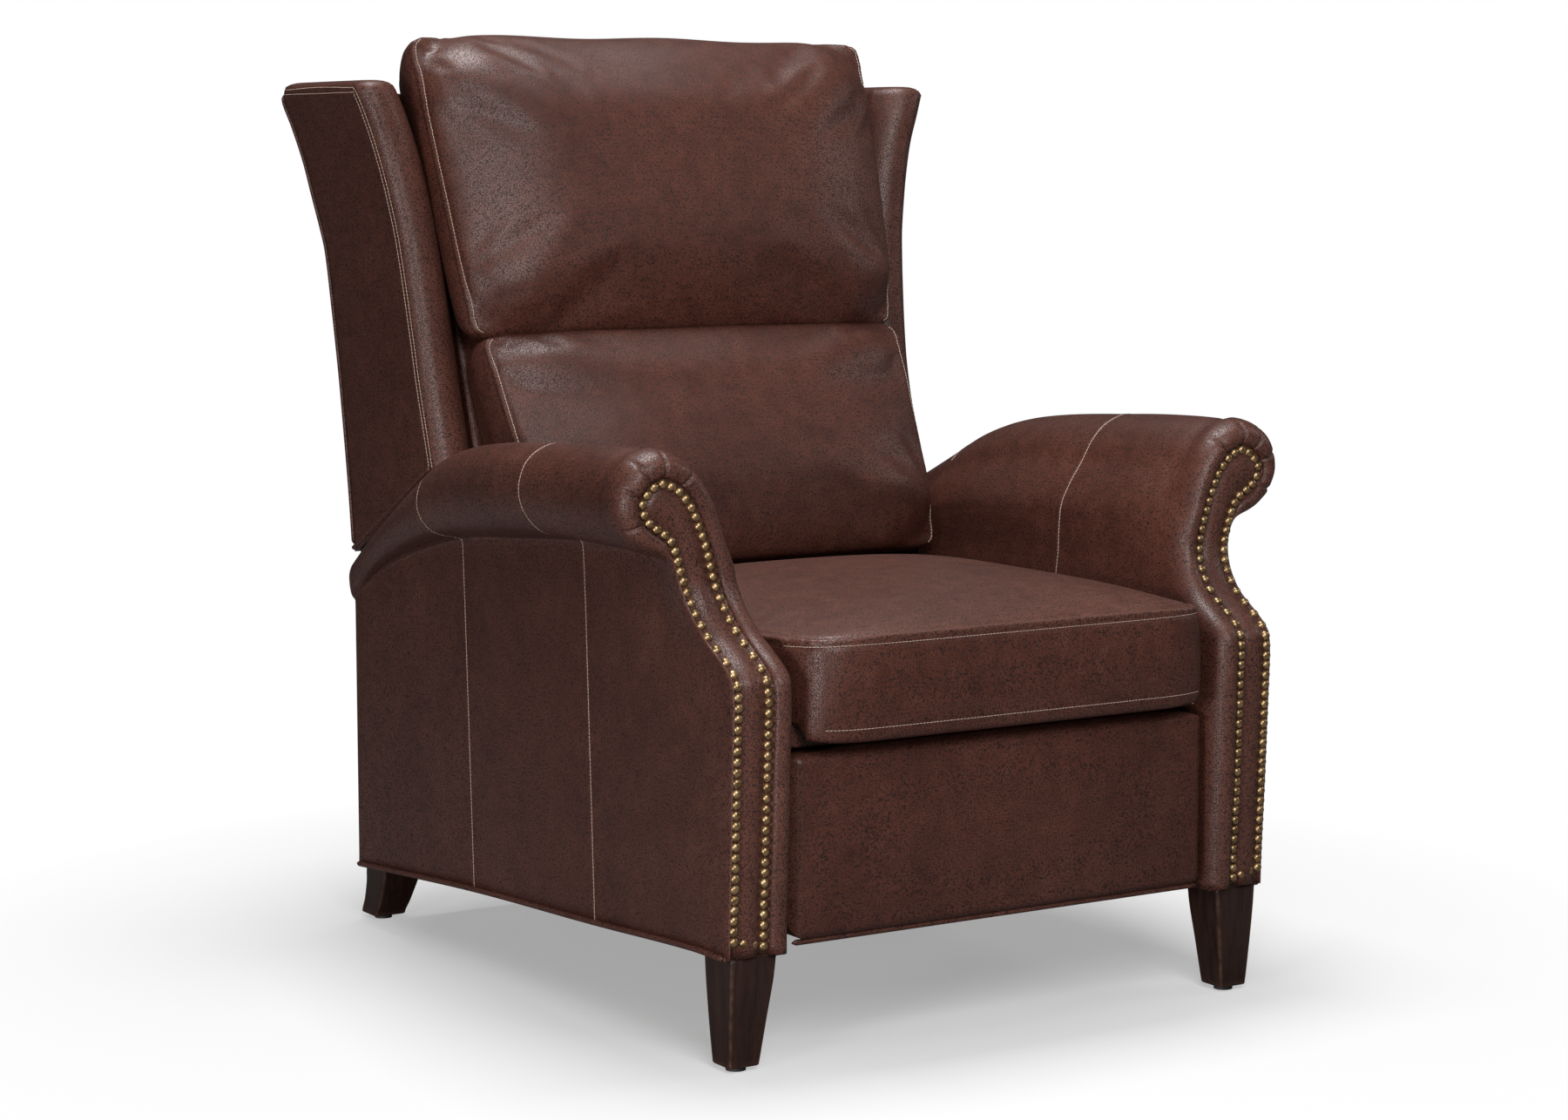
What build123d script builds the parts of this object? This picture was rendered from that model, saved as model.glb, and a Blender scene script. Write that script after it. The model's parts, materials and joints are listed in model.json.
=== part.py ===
from build123d import *
import os
from math import atan2, cos, radians, sin, tan

os.makedirs("parts", exist_ok=True)

# Sizes are in millimetres. A depth is measured back from the front plane of the arm posts.
nose = 30.0
seat_d = 642.0
back_d = 353.0
rear = seat_d + back_d
centre = (rear - nose) / 2
gap = 0.3
pin_play = 0.05

# Arm, from the seat opening outward
seat_half = 285.0
pad_t = 15.0
web_t = 12.0
post_t = 40.0
skin_t = 13.0
overhang = 82.0
border_t = 18.0
web_in = seat_half + pad_t
post_in = web_in + web_t
post_out = post_in + post_t
side_out = post_out + skin_t
roll_out = side_out + overhang

# Arm, heights and depths
base_z = 127.0
rear_base_z = 76.0
arm_z = 661.0
roll_rise = 115.0
pad_step = 20.0
pad_low_z = 335.0
pad_bow = 83.0
scroll_d = 82.0
scroll_trim = 21.0
front_post_d = 70.0
top_rail_d = 150.0
rear_post_w = 60.0
rail_t = 40.0
low_rail_h = 48.0
end_t = 11.0
panel_round = 4.0
back_overhang = 84.0
back_set = 42.0
arm_end = rear - back_overhang
post_end = arm_end - end_t
rear_post_d = post_end - rear_post_w
pad_end = seat_d - back_set
ledge_z = arm_z - roll_rise
scroll_low_z = ledge_z - pad_step
scroll_high_z = arm_z - scroll_trim
ledge_shape = [(0.340, 1), (0.516, 13), (0.681, 30), (0.768, 48), (0.840, 69), (0.911, 95), (0.993, 134),
               (1.0, 137)]  # share of the arm's depth, drop of the arm frame's top there
ledge = [(scroll_d + border_t, ledge_z)] + [(share * arm_end, ledge_z - drop) for share, drop in ledge_shape]

# Nail trim on the front of each arm
panel_t = 2.7
nail_r = 5.5
nail_h = 3.6
nail_space = 0.5
nail_seat = 0.3
nail_margin = 6.5
nail_rise = 8.0
nail_pitch = 2 * nail_r + nail_space
nail_low = base_z + nail_rise

# Legs
leg_top = 57.0
leg_foot = 37.0
leg_splay = 6.0
rear_leg_top = 54.0
rear_leg_foot = 42.0
rear_leg_rake = 22.0
leg_round = 3.0
glide_h = 6.0
glide_r = 11.0
bolt_r = 5.0
bolt_len = 80.0
bolt_room = 4.0
leg_x = post_in + 18
front_leg_d = leg_top / 2
rear_leg_d = post_end - 22

# Cross rails and apron
front_cross_d = 218.0
front_cross_t = 26.0
front_cross_h = 48.0
rear_cross_t = 27.0
rear_cross_h = 56.0
apron_t = 10.0
apron_h = 269.0
apron_round = 8.0

# Steel mechanism, in four layers about the carriage plate
steel = 4.0
layer_gap = 1.0
boss_wall = 3.5
layer = steel + layer_gap
plate_in = seat_half - 35
plate_out = plate_in + steel
control_in = plate_in + layer
link_in = plate_in - layer
inner_in = link_in - layer
rail_w = 30.0
rail_wall = 4.0
rail_low_z = 238.0
rail_h = 38.0
rail_start = 200.0
rail_room = 90.0
slide_travel = 40.0
bar_margin = 10.0
plate_top_z = 343.7
stand_w = 64.0
stand_h = 120.0
stand_t = 5.0
tube_r = 9.0
tube_wall = 2.0
pivot_r = 6.0
pin_r = 4.0
loose_pin_r = 3.5
loose_play = 4.5
rail_x = web_in - rail_w

# Footrest linkage pivots with the footrest shut, as (depth, height)
drive_pivot = (120.0, 292.0)
drive_end = (150.0, 142.0)
extension_end = (66.0, 276.0)
extension_tail = (180.0, 133.0)
control_pivot = (170.0, 307.0)
bracket_pivot = (149.0, 184.0)
bracket_end = (75.0, 320.0)

# Footrest
foot_clear = 3.5
foot_low = 132.0
foot_top_gap = 2.7
foot_pad_t = 30.0
foot_board_t = 18.0
foot_inset = 16.0
flange_w = 28.0
flange_h = 110.0
flange_low_z = 188.0
flange_t = 3.0
foot_half = seat_half - foot_clear
foot_high = plate_top_z - foot_top_gap

# Seat
seat_frame_h = 26.0
seat_rail_w = 48.0
seat_front_d = 20.0
cushion_clear = 4.0
cushion_front_z = 466.0
cushion_crown = 30.0
cushion_lip = 4.3
cushion_back_set = 112.0
wire_r = 2.0
wire_bend = 6.0
wire_step = 26.0
wire_swing = 22.0
wire_count = 5
seat_rear_d = seat_d - back_set
seat_low = plate_top_z + gap
seat_top = seat_low + seat_frame_h
cushion_half = seat_half - cushion_clear
cushion_lip_z = plate_top_z + cushion_lip
cushion_rear_d = seat_d - cushion_back_set

# Back
lever = 82.0
back_rake = 17.2
back_lift = 30.0
stile_t = 30.0
stile_depth = 38.0
stile_drop = 54.0
board_t = 15.0
board_rise = 82.0
bracket_r = 14.0
pivot_boss = 16.0
wing_t = 64.0
wing_slope = 28.5
wing_top_z = 1051.0
wing_cap_h = 11.0
wing_cap_in = 13.0
outback_t = 8.0
skirt_in = 6.0
cover_t = 8.0
back_seam = 350.0
upper_puff = 129.0
lower_puff = 170.0
recline_pivot = (seat_d + 148, 330.0)
rail_end = recline_pivot[0] - rail_room
push_far = (rail_end - 28, rail_low_z + 20)
back_foot = (seat_d, seat_top + back_lift)
stile_in = seat_half - 23
stile_low_z = back_foot[1] - stile_drop
stile_high_z = wing_top_z + 9
board_low_z = back_foot[1] + board_rise
wing_low_z = arm_z - 193
wing_low_d = arm_end + 13
lean = tan(radians(back_rake))
up = (sin(radians(back_rake)), cos(radians(back_rake)))
back_len = (stile_high_z - back_foot[1]) / up[1]


def fy(depth):
    return depth - centre


def yz(points):
    return [(fy(depth), height) for depth, height in points]


def along(rows, depth):
    # Height of a line through (depth, height) points, straight between them
    for (d0, z0), (d1, z1) in zip(rows, rows[1:]):
        if depth <= d1:
            return z0 + (z1 - z0) * (depth - d0) / (d1 - d0)
    return rows[-1][1]


def bow(start, end, share):
    # Shallow arc between two points, as high as a share of its chord
    chord = ((end[0] - start[0]) ** 2 + (end[1] - start[1]) ** 2) ** 0.5
    return SagittaArc(start, end, share * chord)


def ogee(back, top):
    # Side line of the arm front, swept back from the base to the scroll, moved back by a depth
    bulge = (back - 10, scroll_low_z - 134)
    waist = (back + scroll_d - 64, scroll_low_z - 79)
    neck = (back + scroll_d - 36, scroll_low_z - 60.5)
    line = [Line(*yz([(back, base_z), bulge]))]
    line.append(ThreePointArc(*yz([bulge, (back - 7.5, scroll_low_z - 100), waist])))
    line.append(Line(*yz([waist, neck])))
    scroll = (back + scroll_d, scroll_low_z)
    line.append(ThreePointArc(*yz([neck, (back + scroll_d - 11, scroll_low_z - 32), scroll])))
    if top > scroll_low_z:
        line.append(Line(*yz([scroll, (scroll[0], top)])))
    return line[0] @ 0, line[-1] @ 1


def ogee_band(front, back, top):
    # Closed line round the space between two copies of the arm front's line
    with BuildLine() as band:
        low_front, high_front = ogee(front, top)
        low_back, high_back = ogee(back, top)
        Line(low_front, low_back)
        Line(high_front, high_back)
    return band.edges()


def plate(points, x_in, x_out):
    # Flat piece cut to a side outline and standing between two widths
    with BuildPart() as made:
        with BuildSketch(Plane.YZ.offset(x_in)):
            with BuildLine():
                Polyline(*yz(points), close=True)
            make_face()
        extrude(amount=x_out - x_in)
    return made


def link(pivots, x_in, holes, pins):
    # Steel link: pivots are (point, boss radius), holes (point, radius), pins (point, radius, from x, to x)
    with BuildPart() as made:
        with BuildSketch(Plane.YZ.offset(x_in)):
            for point, radius in pivots:
                with Locations(yz([point])[0]):
                    Circle(radius)
            make_hull()
            for point, radius in holes:
                with Locations(yz([point])[0]):
                    Circle(radius, mode=Mode.SUBTRACT)
        extrude(amount=steel)
        for point, radius, start, stop in pins:
            with BuildSketch(Plane.YZ.offset(start)):
                with Locations(yz([point])[0]):
                    Circle(radius)
            extrude(amount=stop - start)
    return made


def left_of(made):
    with BuildPart() as other:
        mirror(made.part, about=Plane.YZ)
    return other


def save(made, name):
    made.part.label = name
    export_step(made.part, f"parts/{name}.step")


def save_pair(made, name):
    save(made, f"{name}_right")
    save(left_of(made), f"{name}_left")


def save_both(made, name):
    # A piece and its mirror image in one node, for links that always move together
    with BuildPart() as both:
        add(made.part)
        mirror(made.part, about=Plane.YZ)
    save(both, name)


# Wooden arm frame: two posts, two rails and a plywood web
post_d = scroll_d + border_t + 1
post_front = [(border_t + gap, base_z), (border_t + gap, scroll_low_z - 98),
              (border_t + 32, scroll_low_z - 76), (post_d - 15, scroll_low_z - 44),
              (post_d, scroll_low_z - 4), (post_d, ledge_z)]
top_start = along(ledge, top_rail_d)
post_line = post_front + [(top_rail_d, top_start), (top_rail_d, top_start - rail_t),
                          (front_post_d, scroll_low_z - 116), (front_post_d, base_z)]
low_rail = [(front_post_d, base_z), (rear_post_d, rear_base_z + 4),
            (rear_post_d, rear_base_z + 4 + low_rail_h), (front_post_d, base_z + low_rail_h)]
ledge_d = [depth for depth, height in ledge]
top_line = [(d, along(ledge, d)) for d in [top_rail_d] + ledge_d[1:-2] + [rear_post_d]]
top_rail = top_line + [(d, z - rail_t) for d, z in reversed(top_line)]
rear_post = [(rear_post_d, rear_base_z), (rear_post_d, along(ledge, rear_post_d)),
             (post_end, along(ledge, post_end)), (post_end, rear_base_z)]
web_top = [post_d + 1] + ledge_d[1:-2] + [post_end]
web_line = post_front[:-1] + [(d, along(ledge, d) - pad_step) for d in web_top]
web_line += [(post_end, rear_base_z), (rear_post_d, rear_base_z + 4), (front_post_d, base_z)]
with BuildPart() as arm_frame:
    for outline in (post_line, low_rail, top_rail, rear_post):
        add(plate(outline, post_in, post_out).part)
    for depth, low in ((front_leg_d, base_z), (rear_leg_d, rear_base_z)):
        with Locations((leg_x, fy(depth), low)):
            Cylinder(bolt_r + pin_play, bolt_len + bolt_room, mode=Mode.SUBTRACT)
with BuildPart() as arm_web:
    add(plate(web_line, web_in, post_in - gap).part)
save_pair(arm_frame, "arm_frame")
save_pair(arm_web, "arm_web")

# Leather side panel over the frame
side_line = post_front + [(d, along(ledge, d)) for d in ledge_d[1:]]
side_line += [(arm_end, rear_base_z - 4), (577, rear_base_z + 22), (283, base_z - 13),
              (front_post_d, base_z)]
end_top = along(ledge, arm_end) - pad_step - 1
end_line = [(post_end + gap, rear_base_z), (post_end + gap, end_top), (arm_end, end_top),
            (arm_end, rear_base_z)]
with BuildPart() as side_panel:
    add(plate(side_line, post_out + gap, side_out).part)
    add(plate(end_line, web_in, side_out - 1).part)
    fillet(side_panel.faces().sort_by(Axis.X)[-1].edges(), panel_round)
save_pair(side_panel, "side_panel")

# Padded inside of the arm, cut back to the curve of the arm front
with BuildPart() as inside_arm:
    for depth in (0, ledge_d[1], ledge_d[2], pad_end):
        top = along(ledge, max(depth, ledge_d[0])) - pad_step
        with BuildSketch(Plane(origin=(0, fy(depth), 0), x_dir=(1, 0, 0), z_dir=(0, -1, 0))):
            with BuildLine():
                Polyline((web_in - gap, top), (web_in - gap, pad_low_z), (seat_half + 3, pad_low_z),
                         (seat_half, pad_low_z + 6), (seat_half, top - pad_bow))
                ThreePointArc((seat_half, top - pad_bow), (seat_half + 4.5, top - pad_bow / 2),
                              (web_in - gap, top))
            make_face()
    loft(ruled=True)
    with BuildSketch(Plane.YZ.offset(seat_half - pad_t)):
        with BuildLine():
            front_cut = [(depth + gap, height) for depth, height in post_front]
            front_cut += [(post_d, arm_z), (-scroll_d, arm_z), (-scroll_d, base_z)]
            Polyline(*yz(front_cut), close=True)
        make_face()
    extrude(amount=4 * pad_t, mode=Mode.SUBTRACT)
save_pair(inside_arm, "inside_arm")

# Rolled arm top. Each row is a depth, then (in, down) of the inner side and of the crown from the roll's
# middle and top, (in, down) of the outer side from the widest point, and (out, up) of the underside
roll_mid = side_out + 30
roll_rows = [
    (scroll_d + gap, (45, 55), (0, 25), (23, 54), (2, 28)),
    (scroll_d + 8, (47, 36), (0, 8), (7, 54), (1, 14)),
    (scroll_d + 30, (50, 31), (0, 0), (0, 54), (0, 8)),
    (ledge_d[1], (50, 36), (0, 6), (1, 58), (0, 5)),
    (ledge_d[2], (50, 49), (0, 21), (9, 76), (-3, 7)),
    (ledge_d[3], (50, 73), (1, 45), (24, 99), (-8, 4)),
    (ledge_d[4], (50, 101), (4, 64), (36, 116), (-12, 3)),
    (ledge_d[5], (57, 141), (7, 94), (48, 146), (-17, 3)),
    (ledge_d[6], (67, 171), (23, 146), (60, 175), (-24, 4)),
    (ledge_d[7], (73, 221), (43, 197), (75, 215), (-30, 6))]
with BuildPart() as arm_roll:
    for depth, inner_at, crown_at, outer_at, under_at in roll_rows:
        low = along(ledge, max(depth, ledge_d[0])) + gap
        inner = (roll_mid - inner_at[0], arm_z - inner_at[1])
        crown = (roll_mid - crown_at[0], arm_z - crown_at[1])
        outer = (roll_out - outer_at[0], arm_z - outer_at[1])
        under = (roll_mid + under_at[0], low + under_at[1])
        step = (web_in + gap, low - pad_step + gap)
        with BuildSketch(Plane(origin=(0, fy(depth), 0), x_dir=(1, 0, 0), z_dir=(0, -1, 0))):
            with BuildLine():
                bow(step, inner, 0.04)
                bow(inner, crown, 0.11)
                bow(crown, outer, 0.19)
                bow(outer, under, 0.19)
                Polyline(under, (side_out, low), (post_in, low), (post_in, step[1]), step)
            make_face()
    loft(ruled=True)
save_pair(arm_roll, "arm_roll")

# Rounded leather border on the front of each arm, swept back in an S
border_rows = [(seat_half, 13.0), (seat_half + 3, 7.0), (seat_half + 9, 2.0), (seat_half + 20, 0.0),
               (side_out - 6, 0.0), (side_out - 2, 1.5), (side_out, 4.5)]
with BuildPart() as arm_border:
    for width, back in border_rows:
        with BuildSketch(Plane.YZ.offset(width)):
            make_face(ogee_band(back, border_t, scroll_low_z))
    loft(ruled=True)
    with BuildSketch(Plane.XZ.offset(-fy(2 * scroll_d))):
        with BuildLine():
            Polyline((seat_half, scroll_low_z - 96), (web_in - 2, scroll_low_z),
                     (seat_half - 5, scroll_low_z), (seat_half - 5, scroll_low_z - 96), close=True)
        make_face()
    extrude(amount=4 * scroll_d, mode=Mode.SUBTRACT)
save_pair(arm_border, "arm_border")

# Nail line seen from the front, up the inner edge, round the scroll and down the outer edge
nail_scroll = [
    (post_out - 31, scroll_low_z - 86), (post_out - 29.5, scroll_low_z - 54),
    (post_out - 23, scroll_low_z - 12), (post_out - 13, arm_z - 103), (post_out + 2, arm_z - 68),
    (post_out + 21, arm_z - 43), (roll_out - 53, arm_z - 33), (roll_out - 35, arm_z - 43),
    (roll_out - 28, arm_z - 59), (roll_out - 38, arm_z - 77), (post_out + 38, arm_z - 88),
    (post_out + 26, arm_z - 109), (post_out + 17, scroll_low_z - 3), (post_out + 10, scroll_low_z - 40),
    (post_out + 6, scroll_low_z - 76)]
with BuildLine() as nail_loop:
    inner_run = Line((nail_scroll[0][0], nail_low), nail_scroll[0])
    scroll_run = Spline(*nail_scroll, tangents=((0, 1), (0, -1)))
    outer_run = Line(nail_scroll[-1], (nail_scroll[-1][0], nail_low))
    low_run = Line(outer_run @ 1, inner_run @ 0)
with BuildLine(Plane.YZ) as ogee_line:
    ogee(0, scroll_high_z)
ogee_wire = ogee_line.wires()[0]


def front_at(height):
    # Point and outward normal of the arm front at a height
    low, high = 0.0, 1.0
    for _ in range(30):
        middle = (low + high) / 2
        if (ogee_wire @ middle).Z < height:
            low = middle
        else:
            high = middle
    slope = ogee_wire % low
    return ogee_wire @ low, Vector(0, -slope.Z, slope.Y)


panel_rim = []
rim_steps = 16
for index in range(rim_steps + 1):
    spot, way = scroll_run @ (index / rim_steps), scroll_run % (index / rim_steps)
    panel_rim.append((spot.X - way.Y * nail_margin, spot.Y + way.X * nail_margin))
with BuildPart() as arm_front:
    with BuildSketch(Plane.YZ.offset(seat_half)):
        make_face(ogee_band(-panel_t - gap, -gap, scroll_high_z))
    extrude(amount=roll_out - seat_half)
    with BuildSketch(Plane.XZ.offset(-fy(2 * scroll_d))):
        with BuildLine():
            rim = Spline(*panel_rim, tangents=((0, 1), (0, -1)))
            low_left = (panel_rim[0][0], nail_low - nail_margin)
            low_right = (panel_rim[-1][0], nail_low - nail_margin)
            Polyline(rim @ 1, low_right, low_left, rim @ 0)
        make_face()
    extrude(amount=4 * scroll_d, mode=Mode.INTERSECT)
save_pair(arm_front, "arm_front")

with BuildPart() as nail:
    with BuildSketch(Plane.XZ):
        with BuildLine():
            ThreePointArc((0, nail_h), (nail_r * 0.72, nail_h * 0.62), (nail_r, 0))
            Polyline((nail_r, 0), (0, 0), (0, nail_h))
        make_face()
    revolve(axis=Axis.Z)
nail_places = []
for run in (inner_run, scroll_run, outer_run, low_run):
    count = int(run.length / nail_pitch)
    for index in range(count):
        spot = run @ (index / count)
        point, normal = front_at(spot.Y)
        rise = max((front_at(spot.Y + share * nail_r * normal.Y)[0] - point).dot(normal)
                   for share in (-1, -0.5, 0, 0.5, 1))
        head = point + Vector(spot.X, -panel_t - gap, 0) + normal * (rise + nail_seat)
        nail_places.append(Plane(origin=head, z_dir=normal))
with BuildPart() as nailheads:
    with Locations(*[Location(place) for place in nail_places]):
        add(nail.part)
save_pair(nailheads, "nailheads")

# Legs, glides and leg bolts; rows are height, side, depth and half-width
foot_x = leg_x + leg_splay
rear_leg_end = rear_leg_d + rear_leg_rake
rear_leg_x = post_out - rear_leg_top / 2 - gap
rear_foot_x = rear_leg_x + leg_splay
rear_leg_rows = [(rear_base_z - gap, rear_leg_top, rear_leg_d, rear_leg_x),
                 (rear_base_z - 28, rear_leg_top - 5, rear_leg_d + 5, rear_leg_x + 2),
                 (rear_base_z - 52, rear_leg_foot + 2.5, rear_leg_end - 8, rear_foot_x - 2),
                 (glide_h, rear_leg_foot, rear_leg_end, rear_foot_x)]
front_leg_rows = [(base_z - gap, leg_top, front_leg_d, leg_x), (glide_h, leg_foot, front_leg_d, foot_x)]
for name, rows, low in (("front_leg", front_leg_rows, base_z), ("rear_leg", rear_leg_rows, rear_base_z)):
    with BuildPart() as leg:
        for height, side, depth, width in rows:
            with BuildSketch(Plane.XY.offset(height)):
                with Locations((width, fy(depth))):
                    RectangleRounded(side, side, leg_round)
        loft(ruled=True)
        with Locations((leg_x, fy(rows[0][2]), low)):
            Cylinder(bolt_r + pin_play, bolt_len + bolt_room, mode=Mode.SUBTRACT)
    save_pair(leg, name)
glide_spots = [(foot_x, front_leg_d), (rear_foot_x, rear_leg_end)]
with BuildPart() as leg_glides:
    for width, depth in glide_spots:
        with Locations((width, fy(depth), 0), (-width, fy(depth), 0)):
            Cylinder(glide_r, glide_h, align=(Align.CENTER, Align.CENTER, Align.MIN))
save(leg_glides, "leg_glides")
with BuildPart() as leg_bolts:
    for depth, low in ((front_leg_d, base_z), (rear_leg_d, rear_base_z)):
        with Locations((leg_x, fy(depth), low), (-leg_x, fy(depth), low)):
            Cylinder(bolt_r, bolt_len)
save(leg_bolts, "leg_bolts")

# Cross rails and the fixed apron below the back
cross_half = web_in - gap
rear_cross_d = rear_post_d + rear_cross_t / 2 + 12.5
with BuildPart() as front_cross_rail:
    with BuildSketch(Plane.XY.offset(base_z + 13)):
        with Locations((0, fy(front_cross_d))):
            Rectangle(2 * cross_half, front_cross_t)
    extrude(amount=front_cross_h)
save(front_cross_rail, "front_cross_rail")
with BuildPart() as rear_cross_rail:
    with BuildSketch(Plane.XY.offset(rear_base_z + 18)):
        with Locations((0, fy(rear_cross_d))):
            Rectangle(2 * cross_half, rear_cross_t)
    extrude(amount=rear_cross_h)
save(rear_cross_rail, "rear_cross_rail")
with BuildPart() as rear_apron:
    with BuildSketch(Plane.XZ.offset(-fy(rear_cross_d + rear_cross_t / 2 + gap))):
        with Locations((0, rear_base_z + apron_h / 2)):
            RectangleRounded(2 * cross_half, apron_h, apron_round)
    extrude(amount=-apron_t)
save(rear_apron, "rear_apron")

# Fixed steel: slide channels and the stands that carry the recline pivots
with BuildPart() as base_rail:
    with BuildSketch(Plane(origin=(0, fy(rail_start), 0), x_dir=(1, 0, 0), z_dir=(0, -1, 0))):
        with Locations(((rail_x + cross_half) / 2, rail_low_z + rail_h / 2)):
            Rectangle(cross_half - rail_x, rail_h)
        with Locations(((rail_x + cross_half - rail_wall) / 2, rail_low_z + rail_h / 2)):
            Rectangle(cross_half - rail_wall - rail_x, rail_h - 2 * rail_wall, mode=Mode.SUBTRACT)
    extrude(amount=rail_start - rail_end)
save_pair(base_rail, "base_rail")
bracket_x = stile_in - gap - steel
pivot_d, pivot_z = recline_pivot
with BuildPart() as pivot_stand:
    with BuildSketch(Plane.YZ.offset(cross_half - stand_t)):
        with Locations((fy(pivot_d), pivot_z - stand_h / 4)):
            RectangleRounded(stand_w, stand_h, stand_w / 8)
    extrude(amount=stand_t)
    with BuildSketch(Plane.YZ.offset(bracket_x - 2)):
        with Locations((fy(pivot_d), pivot_z)):
            Circle(pivot_r)
    extrude(amount=cross_half - stand_t - bracket_x + 2)
save_pair(pivot_stand, "pivot_stand")

# Seat carriage: plates with slide bars, wooden frame, springs and cushion
bar_low = rail_low_z + rail_wall + gap
bar_high = rail_low_z + rail_h - rail_wall - gap
plate_nose_d, plate_nose_z = drive_pivot[0] - 24, drive_pivot[1] - 11
plate_rear_d = rail_end - bar_margin
plate_line = [(plate_nose_d, plate_nose_z), (plate_nose_d, plate_top_z), (plate_rear_d, plate_top_z),
              (plate_rear_d, bar_low), (rail_start + 30, bar_low), (rail_start + 2, plate_nose_z)]
with BuildPart() as carriage_plate:
    add(plate(plate_line, plate_in, plate_out).part)
    with BuildSketch(Plane.YZ.offset(plate_out)):
        with Locations((fy((rail_start + rail_end + slide_travel) / 2), (bar_low + bar_high) / 2)):
            Rectangle(rail_end - rail_start - slide_travel - 2 * bar_margin, bar_high - bar_low)
    extrude(amount=cross_half - gap - rail_wall - plate_out)
    with BuildSketch(Plane.YZ.offset(plate_in)):
        with Locations(yz([drive_pivot])[0]):
            Circle(pivot_r + pin_play)
    extrude(amount=steel, mode=Mode.SUBTRACT)
    with BuildSketch(Plane.YZ.offset(link_in - gap)):
        with Locations(yz([push_far])[0]):
            Circle(loose_pin_r)
    extrude(amount=plate_in - link_in + gap)
    with BuildSketch(Plane.YZ.offset(plate_out)):
        with Locations(yz([control_pivot])[0]):
            Circle(pin_r)
    extrude(amount=control_in + steel + gap - plate_out)
save_pair(carriage_plate, "carriage_plate")

rail_half = cushion_half - 2
with BuildPart() as seat_frame:
    seat_depth = seat_rear_d - seat_front_d
    with BuildSketch(Plane.XY.offset(seat_low)):
        for side in (-1, 1):
            with Locations((side * (rail_half - seat_rail_w / 2), fy((seat_front_d + seat_rear_d) / 2))):
                Rectangle(seat_rail_w, seat_depth)
        for depth in (seat_front_d + seat_rail_w / 2, seat_rear_d - seat_rail_w / 2):
            with Locations((0, fy(depth))):
                Rectangle(2 * (rail_half - seat_rail_w), seat_rail_w)
    extrude(amount=seat_frame_h)
save(seat_frame, "seat_frame")

wire_from = seat_front_d + seat_rail_w + gap
wire_to = seat_rear_d - seat_rail_w - gap
wire_z = seat_low + seat_frame_h / 2
wire_waves = int((wire_to - wire_from) / wire_step)
wire_points = [(0, fy(wire_from)), (0, fy(wire_from + wire_step / 2))]
for index in range(1, wire_waves):
    swing = wire_swing if index % 2 else -wire_swing
    wire_points.append((swing, fy(wire_from + (wire_to - wire_from) * index / wire_waves)))
wire_points += [(0, fy(wire_to - wire_step / 2)), (0, fy(wire_to))]
with BuildPart() as wire:
    with BuildLine(Plane.XY.offset(wire_z)) as wire_path:
        FilletPolyline(*wire_points, radius=wire_bend)
    with BuildSketch(Plane(origin=wire_path.line @ 0, z_dir=wire_path.line % 0)):
        Circle(wire_r)
    sweep()
with BuildPart() as seat_springs:
    with GridLocations(2 * (rail_half - seat_rail_w) / wire_count, 0, wire_count, 1):
        add(wire.part)
save(seat_springs, "seat_springs")

# Seat cushion: side sections across the width, with a crown, a rounded nose and a front lip
cushion_low = seat_top + gap
lip_d = seat_front_d - 6
cushion_rows = [  # share of the half-width, then how far the front, top edge, crown and lip draw in
    (-1.0, 16, 18, 32, 10), (-0.94, 6, 6, 16, 3), (-0.6, 0, 0, 6, 0), (0.0, 0, 0, 0, 0),
    (0.6, 0, 0, 6, 0), (0.94, 6, 6, 16, 3), (1.0, 16, 18, 32, 10)]
with BuildPart() as seat_cushion:
    for share, back, edge_drop, crown_drop, lift in cushion_rows:
        front_d = back - nose
        rear_y = fy(cushion_rear_d - back)
        top = cushion_front_z - edge_drop
        lip = cushion_lip_z + lift
        crown = max(cushion_crown + edge_drop - crown_drop, 1)
        with BuildSketch(Plane.YZ.offset(share * cushion_half)):
            with BuildLine():
                under = Line((fy(front_d + 18), lip), (fy(lip_d), lip))
                Polyline(under @ 1, (fy(lip_d), cushion_low), (rear_y, cushion_low), (rear_y, top - 8))
                SagittaArc((rear_y, top - 8), (fy(front_d + 16), top), -crown)
                ThreePointArc((fy(front_d + 16), top), (fy(front_d), (top + cushion_lip_z) / 2), under @ 0)
            make_face()
    loft(ruled=True)
save(seat_cushion, "seat_cushion")

def stile_d(height):
    return back_foot[0] + (height - back_foot[1]) * lean


def on_back(along_back, forward):
    # (depth, height) of a point given along the raked back and forward of it
    depth = back_foot[0] + along_back * up[0] - forward * up[1]
    return depth, back_foot[1] + along_back * up[1] + forward * up[0]


def slab(low, high, depth):
    # Side outline of a piece lying along the raked back between two heights
    return [(stile_d(low), low), (stile_d(high), high), (stile_d(high) + depth, high),
            (stile_d(low) + depth, low)]


# Reclining back: stiles, plywood board, steel brackets and the padded tail behind the seat
save_pair(plate(slab(stile_low_z, stile_high_z, stile_depth), stile_in, stile_in + stile_t), "back_stile")
save(plate(slab(board_low_z, stile_high_z, board_t), gap - stile_in, stile_in - gap), "back_board")
lever_end = (pivot_d, pivot_z - lever)
bracket_seat = [((stile_d(height) + bracket_r + 2, height), bracket_r)
                for height in (back_foot[1] + 40, back_foot[1] - 30)]
pivot_hole = [(recline_pivot, pivot_r + pin_play)]
with BuildPart() as back_bracket:
    add(link(bracket_seat + [(recline_pivot, pivot_boss)], bracket_x, pivot_hole, []).part)
    add(link([(recline_pivot, pivot_boss), (lever_end, pin_r + boss_wall)], bracket_x, pivot_hole,
             [(lever_end, pin_r, link_in - 1, bracket_x)]).part)
save_pair(back_bracket, "back_bracket")
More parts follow.
